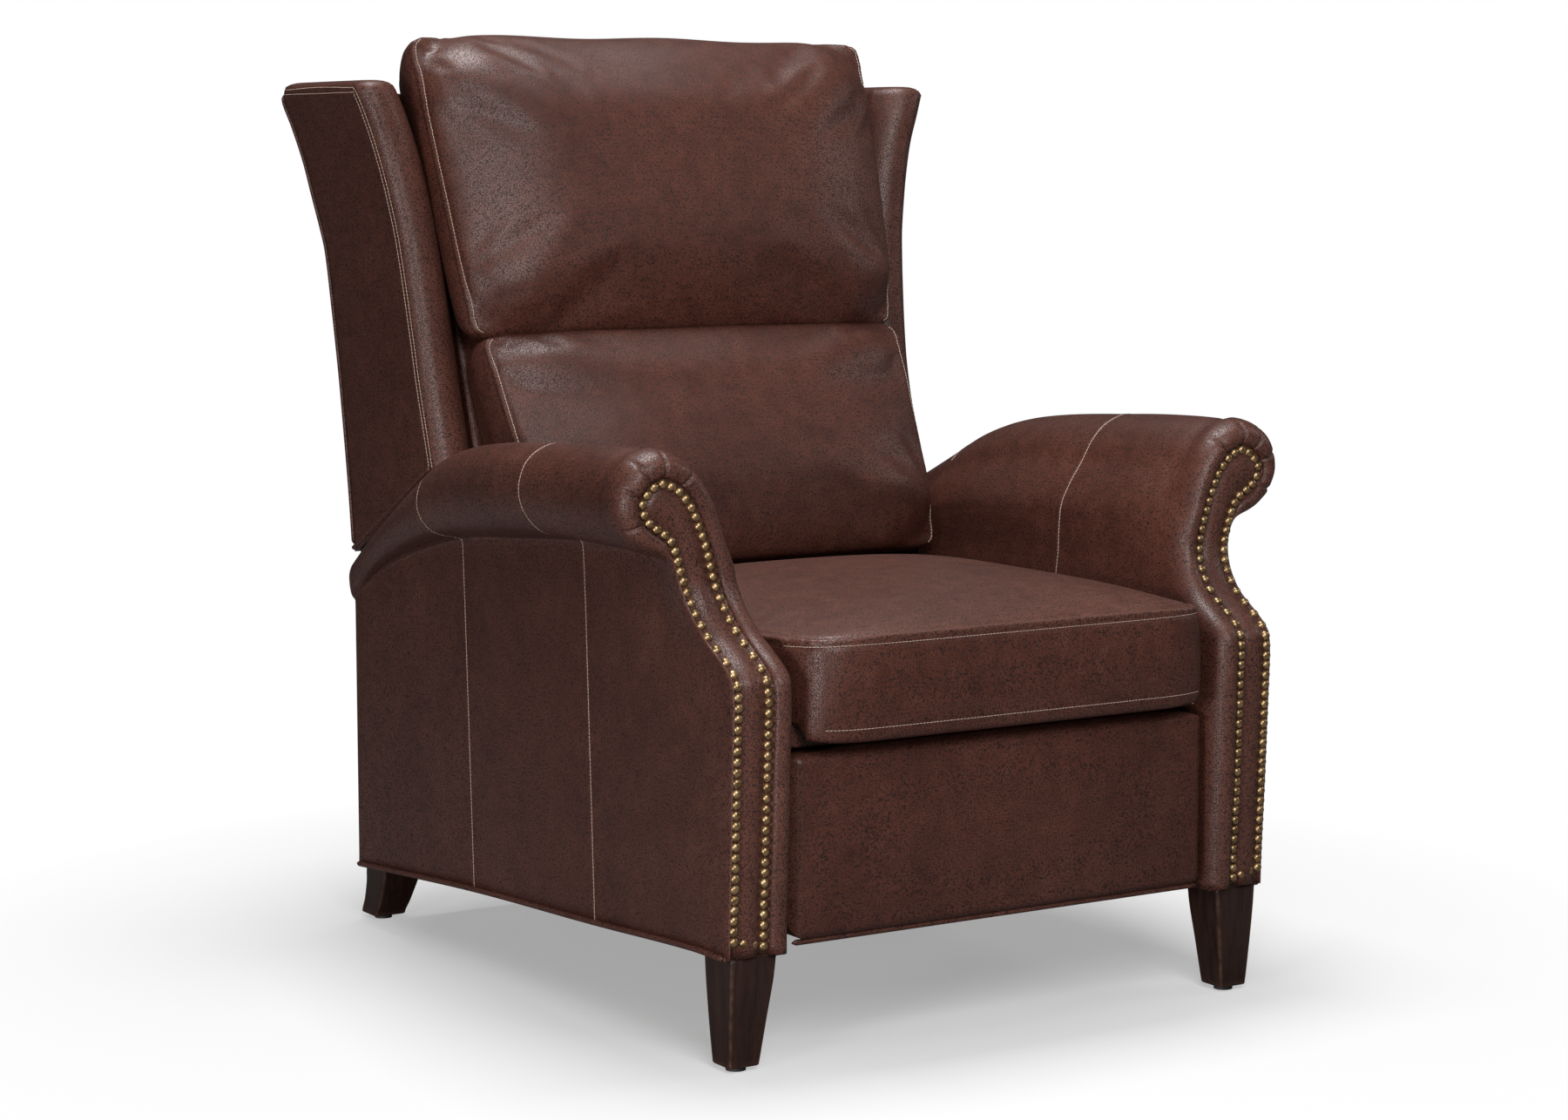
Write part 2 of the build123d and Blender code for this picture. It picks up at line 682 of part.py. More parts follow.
push_hole = loose_pin_r + loose_play / 2
push_link = link([(lever_end, pin_r + boss_wall), (push_far, push_hole + boss_wall)], link_in,
                 [(lever_end, pin_r + pin_play), (push_far, push_hole)], [])
save_both(push_link, "push_links")
tail_line = [on_back(*spot) for spot in ((-15, gap), (54, gap), (54, 40), (38, 95), (-5, 60), (-15, 40))]
save(plate(tail_line, -cushion_half, cushion_half), "back_tail")

# Wings, flared outward at the top and cut off in a slope above the arms
wing_inner = stile_in + stile_t + gap
wing_shape = [  # drop from the top, half-width beyond the arm's side, lead on the stile, rear set in
    (611, -9, 4.5, 71), (451, -8.5, 10, 60), (358, -7, 12.7, 48), (273, -3, 24, 39), (199, 2, 35, 34),
    (130, 12, 46.3, 25), (87, 21, 54.6, 18), (43, 33, 64.2, 7), (15, 44, 70, 0), (0, 49, 70.5, 7)]
wing_rows = [(wing_top_z - drop, side_out + flare, stile_d(wing_top_z - drop) - lead, rear - set_in)
             for drop, flare, lead, set_in in wing_shape]
with BuildPart() as wing:
    cap_z, cap_half, cap_front, cap_rear = wing_rows[-1]
    cap = (cap_z + wing_cap_h, cap_half - wing_cap_in, cap_front + wing_cap_in, cap_rear - wing_cap_in)
    for height, half, front, back in wing_rows + [cap]:
        inner = max(wing_inner, half - wing_t)
        with BuildSketch(Plane.XY.offset(height)):
            with BuildLine():
                Polyline((half, fy(front + 10)), (half, fy(back - outback_t - gap)),
                         (inner, fy(back - outback_t - gap)), (inner, fy(front + 24)))
                ThreePointArc((inner, fy(front + 24)), (half - 26, fy(front - 4)), (half, fy(front + 10)))
            make_face()
    loft(ruled=True)
    slope = tan(radians(wing_slope))
    cut_from, cut_to = seat_d - 150, rear + 100
    with BuildSketch(Plane.YZ.offset(seat_half - pad_t)):
        with BuildLine():
            Polyline(*yz([(cut_from, wing_low_z + (wing_low_d - cut_from) * slope), (cut_from, 0),
                          (cut_to, 0), (cut_to, wing_low_z + (wing_low_d - cut_to) * slope)]), close=True)
        make_face()
    extrude(amount=roll_out, mode=Mode.SUBTRACT)
save_pair(wing, "wing")

outback_low = wing_low_z + 10
outback_low_d = along([(row[0], row[3]) for row in wing_rows], outback_low)
outback_rows = [(outback_low, wing_rows[0][1], outback_low_d)]
outback_rows += [(height, half, back) for height, half, front, back in wing_rows[1:]]
with BuildPart() as outside_back:
    for height, half, back in outback_rows:
        with BuildSketch(Plane.XY.offset(height)):
            with Locations((0, fy(back - outback_t / 2))):
                Rectangle(2 * half, outback_t)
    loft(ruled=True)
skirt_low = pivot_z + 30
with BuildPart() as outback_skirt:
    with BuildSketch(Plane.XY.offset(skirt_low)):
        with Locations((0, fy(outback_low_d - outback_t / 2))):
            Rectangle(2 * (wing_rows[0][1] - skirt_in), outback_t)
    extrude(amount=outback_low - skirt_low)
with BuildPart() as whole_outback:
    add(outside_back.part)
    add(outback_skirt.part)
save(whole_outback, "outside_back")

# Cover across the top of the hollow back
cover_z = wing_rows[-2][0] + 4
cover_front = stile_d(cover_z + cover_t) + stile_depth + gap
cover_rear = wing_rows[-1][3] - outback_t - gap
with BuildPart() as back_cover:
    with BuildSketch(Plane.XY.offset(cover_z)):
        with Locations((0, fy((cover_front + cover_rear) / 2))):
            Rectangle(2 * (wing_rows[-2][1] - wing_t - gap), cover_rear - cover_front)
    extrude(amount=cover_t)
save(back_cover, "back_cover")


def back_cushion(rows):
    # Loft of rounded sections: low and high (along, forward), half-widths there and corner radius
    with BuildPart() as made:
        for low, high, low_half, high_half, corner in rows:
            (d0, z0), (d1, z1) = on_back(*low), on_back(*high)
            tall = ((d1 - d0) ** 2 + (z1 - z0) ** 2) ** 0.5
            tilt = atan2(d1 - d0, z1 - z0)
            face = Plane(origin=(0, fy(d0), z0), x_dir=(1, 0, 0), z_dir=(0, -cos(tilt), sin(tilt)))
            with BuildSketch(face):
                with BuildLine():
                    Polyline((-low_half, 0), (low_half, 0), (high_half, tall), (-high_half, tall),
                             close=True)
                make_face()
                fillet(vertices(), corner)
        loft(ruled=True)
    return made


# Cushion rows: rise of the low and high edges and corner as shares of the cushion's length, depth below the
# puff at each edge, spread beyond the stiles at each edge
upper_len = back_len - back_seam
upper_shape = [
    (0.065, 0.062, upper_puff - gap, upper_puff - gap, -4, 26, 0.088),
    (0.012, 0.153, 97, 103, 20, 52, 0.100),
    (0.003, 0.114, 57, 63, 44, 70, 0.106), (0.023, 0.067, 33, 39, 40, 64, 0.117),
    (0.070, 0.009, 16, 22, 26, 48, 0.147), (0.147, -0.079, 5, 11, -4, 14, 0.176),
    (0.252, -0.197, 0, 6, -57, -44, 0.176)]
lower_shape = [
    (0.183, -0.034, lower_puff - gap, lower_puff - gap, -6, 0, 0.080),
    (0.166, -0.011, 130, 136, 6, 22, 0.097),
    (0.120, -0.011, 38, 88, 14, 41, 0.103), (0.143, -0.029, 22, 72, 9, 36, 0.114),
    (0.194, -0.080, 10, 57, -8, 18, 0.131), (0.269, -0.154, 3, 47, -42, -18, 0.143),
    (0.354, -0.234, 0, 43, -92, -72, 0.129)]
for name, foot, length, puff, shape in (
        ("upper_back_cushion", back_seam, upper_len, upper_puff, upper_shape),
        ("lower_back_cushion", 0, back_seam, lower_puff, lower_shape)):
    save(back_cushion([((foot + low * length, puff - low_in), (foot + (1 + high) * length, puff - high_in),
                        stile_in + low_out, stile_in + high_out, corner * length)
                       for low, high, low_in, high_in, low_out, high_out, corner in shape]), name)

# Footrest linkage: each pin belongs to the piece that carries it and turns in its neighbour
pin_boss = pin_r + boss_wall
loose_hole = loose_pin_r + loose_play
drive_link = link([(drive_pivot, pivot_r + boss_wall), (drive_end, pin_boss), (bracket_pivot, pin_boss)],
                  link_in, [],
                  [(drive_pivot, pivot_r, link_in + steel, control_in - gap),
                   (drive_end, pin_r, link_in + steel, control_in - gap),
                   (bracket_pivot, pin_r, inner_in - 1, link_in)])
save_pair(drive_link, "drive_link")
with BuildPart() as drive_tube:
    with BuildSketch(Plane.YZ.offset(gap - link_in)):
        with Locations(yz([drive_pivot])[0]):
            Circle(tube_r)
            Circle(tube_r - tube_wall, mode=Mode.SUBTRACT)
    extrude(amount=2 * (link_in - gap))
save(drive_tube, "drive_tube")
extension_link = link([(drive_end, pin_boss), (extension_end, pin_boss), (extension_tail, pin_boss)],
                      plate_in, [(drive_end, pin_r + pin_play)],
                      [(extension_end, pin_r, link_in - gap, plate_in),
                       (extension_tail, loose_pin_r, plate_out, control_in + steel + gap)])
save_pair(extension_link, "extension_link")
control_link = link([(control_pivot, pin_boss), (extension_tail, loose_hole + boss_wall)], control_in,
                    [(control_pivot, pin_r + pin_play), (extension_tail, loose_hole)], [])
save_both(control_link, "control_links")
bracket_link = link([(bracket_pivot, pin_boss), (bracket_end, loose_hole + boss_wall)], inner_in,
                    [(bracket_pivot, pin_r + pin_play), (bracket_end, loose_hole)], [])
save_pair(bracket_link, "bracket_link")

# Footrest: padded panel, board and steel brackets
foot_mid = (foot_low + foot_high) / 2
foot_tall = foot_high - foot_low
with BuildPart() as footrest_pad:
    for depth, inset, corner in ((foot_pad_t, 6, 12), (foot_pad_t - 12, 0, 16), (8, 0.5, 16), (1, 8, 20),
                                 (-3, 40, 30)):
        with BuildSketch(Plane.XZ.offset(-fy(depth))):
            with Locations((0, foot_mid)):
                RectangleRounded(2 * (foot_half - inset), foot_tall - 2 * inset, corner)
    loft(ruled=True)
save(footrest_pad, "footrest_pad")
board_d = foot_pad_t + gap
with BuildPart() as footrest_board:
    with BuildSketch(Plane.XZ.offset(-fy(board_d))):
        with Locations((0, foot_mid)):
            Rectangle(2 * (foot_half - foot_inset), foot_tall - foot_inset)
    extrude(amount=-foot_board_t)
save(footrest_board, "footrest_board")
flange_d = board_d + foot_board_t + gap
flange_top_z = extension_end[1] + 50
with BuildPart() as footrest_bracket:
    add(link([(extension_end, pin_boss), (bracket_end, pin_boss), ((flange_d + 4, flange_low_z + 6), 2.0),
              ((flange_d + 4, flange_top_z), 2.0)], link_in, [(extension_end, pin_r + pin_play)],
             [(bracket_end, loose_pin_r, inner_in - 1, link_in)]).part)
    with BuildSketch(Plane.XZ.offset(-fy(flange_d))):
        with Locations((link_in + steel / 2 - flange_w / 2, flange_low_z + flange_h / 2)):
            Rectangle(flange_w, flange_h)
    extrude(amount=-flange_t)
save_pair(footrest_bracket, "footrest_bracket")
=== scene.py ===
import json
from math import cos, pi, radians, sin

import bmesh
import bpy
import numpy as np
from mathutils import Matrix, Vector
from mathutils.bvhtree import BVHTree


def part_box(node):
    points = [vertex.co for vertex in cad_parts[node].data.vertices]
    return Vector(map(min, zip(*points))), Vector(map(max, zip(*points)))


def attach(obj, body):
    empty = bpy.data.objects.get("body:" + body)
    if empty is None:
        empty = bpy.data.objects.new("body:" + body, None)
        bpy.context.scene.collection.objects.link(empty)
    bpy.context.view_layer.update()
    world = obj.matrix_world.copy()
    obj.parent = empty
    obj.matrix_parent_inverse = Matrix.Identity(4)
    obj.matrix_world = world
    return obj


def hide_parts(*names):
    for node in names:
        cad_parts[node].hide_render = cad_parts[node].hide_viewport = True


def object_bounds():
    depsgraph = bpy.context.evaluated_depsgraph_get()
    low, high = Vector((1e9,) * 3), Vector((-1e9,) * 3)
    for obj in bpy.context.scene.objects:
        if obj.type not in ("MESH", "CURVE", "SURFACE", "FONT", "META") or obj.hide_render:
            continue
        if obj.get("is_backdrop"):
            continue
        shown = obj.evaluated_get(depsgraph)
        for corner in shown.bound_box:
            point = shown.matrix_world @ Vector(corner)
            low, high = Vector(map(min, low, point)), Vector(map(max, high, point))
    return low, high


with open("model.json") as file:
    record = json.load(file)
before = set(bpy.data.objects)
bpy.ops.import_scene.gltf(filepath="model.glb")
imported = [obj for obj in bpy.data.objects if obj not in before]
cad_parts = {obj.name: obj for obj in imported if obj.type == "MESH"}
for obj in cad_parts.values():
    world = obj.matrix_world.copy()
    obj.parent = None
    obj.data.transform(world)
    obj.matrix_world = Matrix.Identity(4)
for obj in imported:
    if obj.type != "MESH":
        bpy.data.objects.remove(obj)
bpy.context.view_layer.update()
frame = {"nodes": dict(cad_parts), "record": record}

chair = {"centre": 482.5, "seatD": 642.0, "backFootZ": 400.0, "rake": radians(17.2)}
sides = {"left": -1, "right": 1}
rng = np.random.default_rng(7)


# Numpy helpers: everything is laid out in millimetres as half-width, depth behind the arm fronts, height

def place(x, d, z, side=1):
    # millimetres to metres in the part frame, mirrored for the left side
    x, d, z = np.broadcast_arrays(np.asarray(x, float), d, z)
    return np.stack([side * x, d - chair["centre"], z], -1) * 0.001


def placed(P, side=1):
    # the same for points (x, d, z) in the last axis
    return place(P[..., 0], P[..., 1], P[..., 2], side)


def layout(co):
    # metres of the part frame back to millimetres
    return co * 1000 + np.array([0, chair["centre"], 0])


def onBack(w, a, f):
    # point of the raked back: w across, a up along the rake, f forward of it
    s, c = sin(chair["rake"]), cos(chair["rake"])
    return place(w, chair["seatD"] + a * s - f * c, chair["backFootZ"] + a * c + f * s)


def between(a, b, share):
    return a + (b - a) * share


def curve(knots, at):
    # cubic Hermite curve through rows of (position, values...), slopes from the neighbours on each side
    k = np.asarray(knots, float)
    x, y = k[:, 0], k[:, 1:]
    inner = (y[2:] - y[:-2]) / (x[2:] - x[:-2])[:, None]
    first, last = (y[1] - y[0]) / (x[1] - x[0]), (y[-1] - y[-2]) / (x[-1] - x[-2])
    m = np.concatenate([first[None], inner, last[None]])
    at = np.clip(np.asarray(at, float), x[0], x[-1])
    i = np.clip(np.searchsorted(x, at, side="right") - 1, 0, len(x) - 2)
    h = (x[i + 1] - x[i])[..., None]
    t = ((at - x[i])[..., None]) / h
    a, b = 2 * t**3 - 3 * t**2 + 1, t**3 - 2 * t**2 + t
    c, e = -2 * t**3 + 3 * t**2, t**3 - t**2
    out = a * y[i] + b * h * m[i] + c * y[i + 1] + e * h * m[i + 1]
    return out[..., 0] if y.shape[1] == 1 else out


def smoothStep(low, high, v):
    # 0 below low, 1 above high, an S between them
    t = np.clip((v - low) / (high - low), 0, 1)
    return t * t * (3 - 2 * t)


def bump(v, width):
    # bell of height 1 about zero
    return np.exp(-(v / width) ** 2)


def evenly(path, step):
    # the same path with its points a fixed step apart along its length
    length = np.concatenate([[0], np.cumsum(np.linalg.norm(np.diff(path, axis=0), axis=1))])
    at = np.linspace(0, length[-1], max(int(length[-1] / step), 2) + 1)
    return np.stack([np.interp(at, length, path[:, k]) for k in range(path.shape[1])], -1)


def gridNormals(P):
    # unit normals of a grid surface from the cross product of its two directions
    n = np.cross(np.gradient(P, axis=0), np.gradient(P, axis=1))
    return n / np.maximum(np.linalg.norm(n, axis=-1, keepdims=True), 1e-12)


def closeUp(mesh, merge=0.0, rim=0):
    # draw doubles together, fill open rims of up to so many sides, and turn the faces outwards
    work = bmesh.new()
    work.from_mesh(mesh)
    if merge:
        bmesh.ops.remove_doubles(work, verts=work.verts, dist=merge)
        bmesh.ops.dissolve_degenerate(work, edges=work.edges, dist=1e-6)
    if rim:
        bmesh.ops.holes_fill(work, edges=work.edges, sides=rim)
    bmesh.ops.recalc_face_normals(work, faces=work.faces)
    work.to_mesh(mesh)
    work.free()


def meshFrom(name, points, faces, merge=True):
    mesh = bpy.data.meshes.new(name)
    mesh.from_pydata(np.asarray(points, float).reshape(-1, 3).tolist(), [], faces)
    obj = bpy.data.objects.new(name, mesh)
    bpy.context.scene.collection.objects.link(obj)
    if merge:
        closeUp(mesh, merge=2e-5)
    mesh.polygons.foreach_set("use_smooth", np.ones(len(mesh.polygons), bool))
    mesh.update()
    return obj


def gridFaces(nu, nv, wrap=False):
    # quads of a grid, its rows joined end to end where it wraps
    i = np.arange(nu * nv).reshape(nu, nv)
    i = np.hstack([i, i[:, :1]]) if wrap else i
    return np.stack([i[:-1, :-1], i[1:, :-1], i[1:, 1:], i[:-1, 1:]], -1)


def gridMesh(name, P, wrap=False, keep=None, merge=True, flip=False):
    faces = gridFaces(*P.shape[:2], wrap)
    faces = faces[keep] if keep is not None else faces
    faces = faces.reshape(-1, 4)
    return meshFrom(name, P, (faces[:, ::-1] if flip else faces).tolist(), merge)


def loftClosed(name, P):
    # closed loops in rows, with the first and last loop drawn together into their middles
    ends = [np.repeat(P[[k]].mean(1, keepdims=True), P.shape[1], 1) for k in (0, -1)]
    return gridMesh(name, np.concatenate([ends[0], P, ends[1]]), wrap=True)


def frameAlong(path, up):
    # tangent, side and upright directions at each point of a path
    t = np.gradient(path, axis=0)
    t /= np.maximum(np.linalg.norm(t, axis=1, keepdims=True), 1e-12)
    s = np.cross(t, np.broadcast_to(up, t.shape))
    s /= np.maximum(np.linalg.norm(s, axis=1, keepdims=True), 1e-12)
    return t, s, np.cross(s, t)


def tube(name, path, radius, up):
    # circle of the radius carried along the path, with drawn-in ends
    t, s, u = frameAlong(path, np.array(up))
    a = np.linspace(0, 2 * pi, 10, endpoint=False)
    r = radius * 0.001 * np.ones(len(path))
    r[[0, -1]] *= 0.35
    ring = s[:, None] * np.cos(a)[None, :, None] + u[:, None] * np.sin(a)[None, :, None]
    return loftClosed(name, path[:, None] + ring * r[:, None, None])


def stitches(name, path, up, stitch):
    # short threads laid end to end along a path: a round-ended tube of 6 rings of 6, turned to the path
    p = evenly(path, stitch["pitch"] * 0.001)
    t, s, u = frameAlong(p, np.array(up))
    k = np.linspace(-1, 1, 6)
    a = np.linspace(0, 2 * pi, 6, endpoint=False)
    r = np.sqrt(np.maximum(1 - np.abs(k) ** 3, 0.02))
    form = np.stack([np.repeat(k, 6), np.outer(r, np.cos(a)).ravel(), np.outer(r, np.sin(a)).ravel()], -1)
    form *= np.array([stitch["length"] / 2, stitch["radius"], stitch["radius"]]) * 0.001
    points = p[:, None] + np.einsum("vk,nkj->nvj", form, np.stack([t, s, u], 1))
    one = gridFaces(6, 6, wrap=True).reshape(-1, 4)
    faces = one[None] + (len(form) * np.arange(len(p)))[:, None, None]
    obj = meshFrom(name, points, faces.reshape(-1, 4).tolist(), merge=False)
    closeUp(obj.data, rim=8)
    return obj


def coordinates(obj, kind="co"):
    values = np.empty(len(obj.data.vertices) * 3, np.float32)
    obj.data.vertices.foreach_get(kind, values)
    return values.reshape(-1, 3).astype(float)


def normalsOf(obj):
    return coordinates(obj, "normal")


def reshape(obj, co):
    obj.data.vertices.foreach_set("co", np.asarray(co, np.float32).ravel())
    obj.data.update()


def nearest(points, path):
    # distance from each point to the nearest of a path's points, in blocks
    blocks = np.array_split(points, 1 + len(points) // 4000)
    return np.concatenate([np.sqrt(((b[:, None] - path[None]) ** 2).sum(-1)).min(1) for b in blocks])


def onSurface(obj, path):
    # path laid onto a piece, with the surface's normals there
    corners = [tuple(c) for c in coordinates(obj)]
    tree = BVHTree.FromPolygons(corners, [tuple(p.vertices) for p in obj.data.polygons])
    hits = [tree.find_nearest(Vector(p)) for p in path]
    return np.array([h[0] for h in hits]), np.array([h[1] for h in hits])


def wall(obj, thickness):
    # a sheet's own thickness, laid on its inner side
    made = obj.modifiers.new("wall", "SOLIDIFY")
    made.thickness, made.offset = thickness * 0.001, -1


def evaluated(obj):
    # the mesh with its modifiers worked in
    graph = bpy.context.evaluated_depsgraph_get()
    made = bpy.data.meshes.new_from_object(obj.evaluated_get(graph))
    old = obj.data
    obj.modifiers.clear()
    obj.data = made
    bpy.data.meshes.remove(old)
    made.polygons.foreach_set("use_smooth", np.ones(len(made.polygons), bool))


def plump(obj, filling, hold):
    # remesh evenly, blow the free part of the cover up as cloth for a few frames,
    # and keep points near their start
    even = obj.modifiers.new("even", "REMESH")
    even.mode, even.voxel_size = "VOXEL", filling["voxel"] * 0.001
    evaluated(obj)
    start = coordinates(obj)
    group = obj.vertex_groups.new(name="held")
    level = np.round(10 * np.clip(hold(layout(start)), 0, 1)).astype(int)
    for share in range(1, 11):
        group.add(np.flatnonzero(level == share).tolist(), share / 10, "REPLACE")
    cloth = obj.modifiers.new("cover", "CLOTH")
    s = cloth.settings
    s.quality, s.mass, s.vertex_group_mass = 4, 0.25, "held"
    s.use_pressure, s.uniform_pressure_force = True, filling["pressure"]
    s.tension_stiffness = s.compression_stiffness = filling["stretch"]
    s.shear_stiffness, s.bending_stiffness = filling["stretch"] / 2, filling["bending"]
    s.effector_weights.gravity = 0
    cloth.point_cache.frame_start, cloth.point_cache.frame_end = 1, 20
    for f in range(1, 21):
        bpy.context.scene.frame_set(f)
    evaluated(obj)
    bpy.context.scene.frame_set(1)
    obj.vertex_groups.clear()
    moved = coordinates(obj) - start
    far = np.linalg.norm(moved, axis=1, keepdims=True)
    cap = filling["cap"] * 0.001
    moved *= cap * np.tanh(far / cap) / np.maximum(far, 1e-9)
    reshape(obj, start + moved)
    print("swelled", obj.name, round(1000 * far.max(), 1))
    ease = obj.modifiers.new("ease", "SMOOTH")
    ease.factor, ease.iterations = 0.5, filling["ease"]
    fine = obj.modifiers.new("fine", "SUBSURF")
    fine.levels = fine.render_levels = 1
    evaluated(obj)
    print("plumped", obj.name, len(obj.data.vertices))


# Finishes

class Wire:
    # an output socket that can be used in sums
    def __init__(self, sheet, socket):
        self.sheet, self.socket = sheet, socket

    def maths(self, operation, a, b):
        return self.sheet.node("ShaderNodeMath", {"operation": operation}, {0: a, 1: b})

    def __add__(self, other):
        return self.maths("ADD", self, other)

    def __radd__(self, other):
        return self.maths("ADD", other, self)

    def __sub__(self, other):
        return self.maths("SUBTRACT", self, other)

    def __rsub__(self, other):
        return self.maths("SUBTRACT", other, self)

    def __mul__(self, other):
        return self.maths("MULTIPLY", self, other)

    def __rmul__(self, other):
        return self.maths("MULTIPLY", other, self)

    def __pow__(self, other):
        return self.maths("POWER", self, other)

    def clamp(self, low, high):
        sockets = {"Value": self, "From Min": low, "From Max": high}
        return self.sheet.node("ShaderNodeMapRange", {"clamp": True}, sockets)


class Sheet:
    # the node tree of a finish or of the world
    def __init__(self, owner):
        self.owner = owner
        owner.use_nodes = True
        self.tree = owner.node_tree
        self.tree.nodes.clear()

    def node(self, kind, settings=None, sockets=None, out=0):
        made = self.tree.nodes.new(kind)
        for key, value in (settings or {}).items():
            if key == "stops":
                ramp = made.color_ramp.elements
                while len(ramp) < len(value):
                    ramp.new(0.5)
                for stop, (at, colour) in zip(ramp, value):
                    stop.position, stop.color = at, colour
            else:
                setattr(made, key, value)
        for key, value in (sockets or {}).items():
            if isinstance(value, Wire):
                self.tree.links.new(value.socket, made.inputs[key])
            else:
                made.inputs[key].default_value = value
        return Wire(self, made.outputs[out]) if made.outputs else None

    def at(self):
        return self.node("ShaderNodeTexCoord", out="Object")

    def ramp(self, share, stops):
        return self.node("ShaderNodeValToRGB", {"stops": stops}, {"Fac": share})

    def mix(self, share, a, b):
        return self.node("ShaderNodeMix", {"data_type": "RGBA"}, {"Factor": share, 6: a, 7: b}, 2)

    def noise(self, at, scale, detail=3.0, rough=0.55, out=0):
        sockets = {"Vector": at, "Scale": scale, "Detail": detail, "Roughness": rough}
        return self.node("ShaderNodeTexNoise", None, sockets, out)

    def wear(self):
        return self.node("ShaderNodeAttribute", {"attribute_name": "wear"}, out="Fac")

    def relief(self, height, strength, depth=0.0004):
        sockets = {"Strength": strength, "Distance": depth, "Height": height}
        return self.node("ShaderNodeBump", None, sockets)

    def finish(self, sockets):
        shader = self.node("ShaderNodeBsdfPrincipled", None, sockets)
        self.node("ShaderNodeOutputMaterial", None, {"Surface": shader})
        return self.owner


def newFinish(name):
    return Sheet(bpy.data.materials.new(name))


# the paler colour below serves both wear and painted light
leather = {
    "dark": (0.044, 0.0128, 0.0084, 1), "middle": (0.080, 0.0262, 0.0174, 1),
    "light": (0.130, 0.050, 0.036, 1), "pit": (0.012, 0.0036, 0.0026, 1), "worn": (0.15, 0.072, 0.055, 1),
    "grain": 350.0, "stray": 0.0012, "rough": 0.33, "bump": 0.28, "specular": 0.27}


def leatherFinish(name, worn=True):
    # pebbles from cells, broken pits where cells meet, cloudy dye, paler where the attribute marks wear and
    # painted light (painted highlights, and a painted lit seat top)
    s = newFinish(name)
    at = s.at()
    stray = s.noise(at, 150.0, 1.0, 0.5, out=1)
    warp = s.node("ShaderNodeMix", {"data_type": "VECTOR"}, {"Factor": leather["stray"], 4: at, 5: stray}, 1)
    cells = {"Vector": warp, "Scale": leather["grain"], "Randomness": 0.85}
    edge = s.node("ShaderNodeTexVoronoi", {"feature": "DISTANCE_TO_EDGE"}, cells)
    cloud = s.noise(at, 7.0, 4.0, 0.6)
    fine = s.noise(at, 45.0, 3.0)
    patch = s.noise(at, 26.0, 2.0)
    broken = s.noise(at, 1.1 * leather["grain"], 1.0).clamp(0.40, 0.60)
    pebble = edge.clamp(0.0, 0.26)
    pit = (1 - edge.clamp(0.04, 0.22)) * broken
    shade = (cloud.clamp(0.3, 0.7) * 0.35 + fine.clamp(0.3, 0.7) * 0.25 + 0.1).clamp(0.0, 1.0)
    colour = s.ramp(shade, [(0.05, leather["dark"]), (0.5, leather["middle"]), (1.0, leather["light"])])
    rough = leather["rough"] + 0.1 * fine + 0.2 * pit
    if worn:
        wear = s.wear()
        colour = s.mix((wear * (0.5 + 0.5 * fine)).clamp(0.0, 1.0), colour, leather["worn"])
        rough = rough - 0.06 * wear
    sunk = (pit * (0.7 + 0.4 * patch) + 0.14 * (1 - pebble)).clamp(0.0, 1.0)
    return s.finish({
        "Base Color": s.mix(sunk, colour, leather["pit"]), "Roughness": rough,
        "Normal": s.relief(pebble**0.7 - 0.5 * pit, leather["bump"]),
        "Specular IOR Level": leather["specular"]})


def threadFinish(name):
    # twisted thread: fine slanting bands
    s = newFinish(name)
    at = s.at()
    band = s.node("ShaderNodeTexWave", None, {"Vector": at, "Scale": 900.0, "Distortion": 2.0})
    colour = s.mix(band * 0.5 + 0.5 * s.noise(at, 40.0), (0.26, 0.175, 0.135, 1), (0.50, 0.38, 0.31, 1))
    return s.finish({"Base Color": colour, "Roughness": 0.62 + 0.1 * band})


def brassFinish(name):
    # antiqued brass: brown tarnish and brighter metal in patches
    s = newFinish(name)
    at = s.at()
    tarnish = s.noise(at, 150.0, 4.0, 0.65)
    colour = s.ramp(tarnish, [
        (0.3, (0.13, 0.075, 0.034, 1)), (0.52, (0.33, 0.215, 0.108, 1)), (0.75, (0.50, 0.36, 0.21, 1))])
    return s.finish({
        "Base Color": colour, "Metallic": 0.92, "Roughness": 0.24 + 0.28 * tarnish,
        "Normal": s.relief(s.noise(at, 420.0, 2.0), 0.25)})


def woodFinish(name, dark, light, shine, worn=False):
    # grain lines along the height from stretched noise, with open pores
    s = newFinish(name)
    at = s.at()
    long = s.node("ShaderNodeMapping", None, {"Vector": at, "Scale": (1.0, 1.0, 0.07)})
    grain = s.noise(long, 130.0, 5.0, 0.62)
    pore = s.noise(long, 620.0, 2.0)
    colour = s.mix(grain.clamp(0.32, 0.7), dark, light)
    colour = s.mix((1 - pore.clamp(0.3, 0.42)) * 0.6, colour, tuple(0.45 * c for c in dark[:3]) + (1,))
    if worn:
        rubbedAndLit = (s.wear() * s.noise(at, 90.0, 4.0).clamp(0.35, 0.65)).clamp(0.0, 1.0)
        colour = s.mix(rubbedAndLit, colour, (0.11, 0.05, 0.032, 1))
    return s.finish({
        "Base Color": colour, "Roughness": shine + 0.15 * grain,
        "Normal": s.relief(grain + 0.6 * pore, 0.2), "Specular IOR Level": 0.27})


def steelFinish(name, colour, metallic, shine):
    # enamel or plain steel with fine mottling
    s = newFinish(name)
    at = s.at()
    mottle = s.noise(at, 35.0, 5.0)
    pale = tuple(min(1.0, 1.9 * c + 0.01) for c in colour[:3]) + (1,)
    tone = s.mix(mottle.clamp(0.3, 0.8), colour, pale)
    return s.finish({
        "Base Color": tone, "Metallic": metallic, "Roughness": shine + 0.2 * mottle,
        "Normal": s.relief(s.noise(at, 700.0, 1.0), 0.15, 0.0003)})


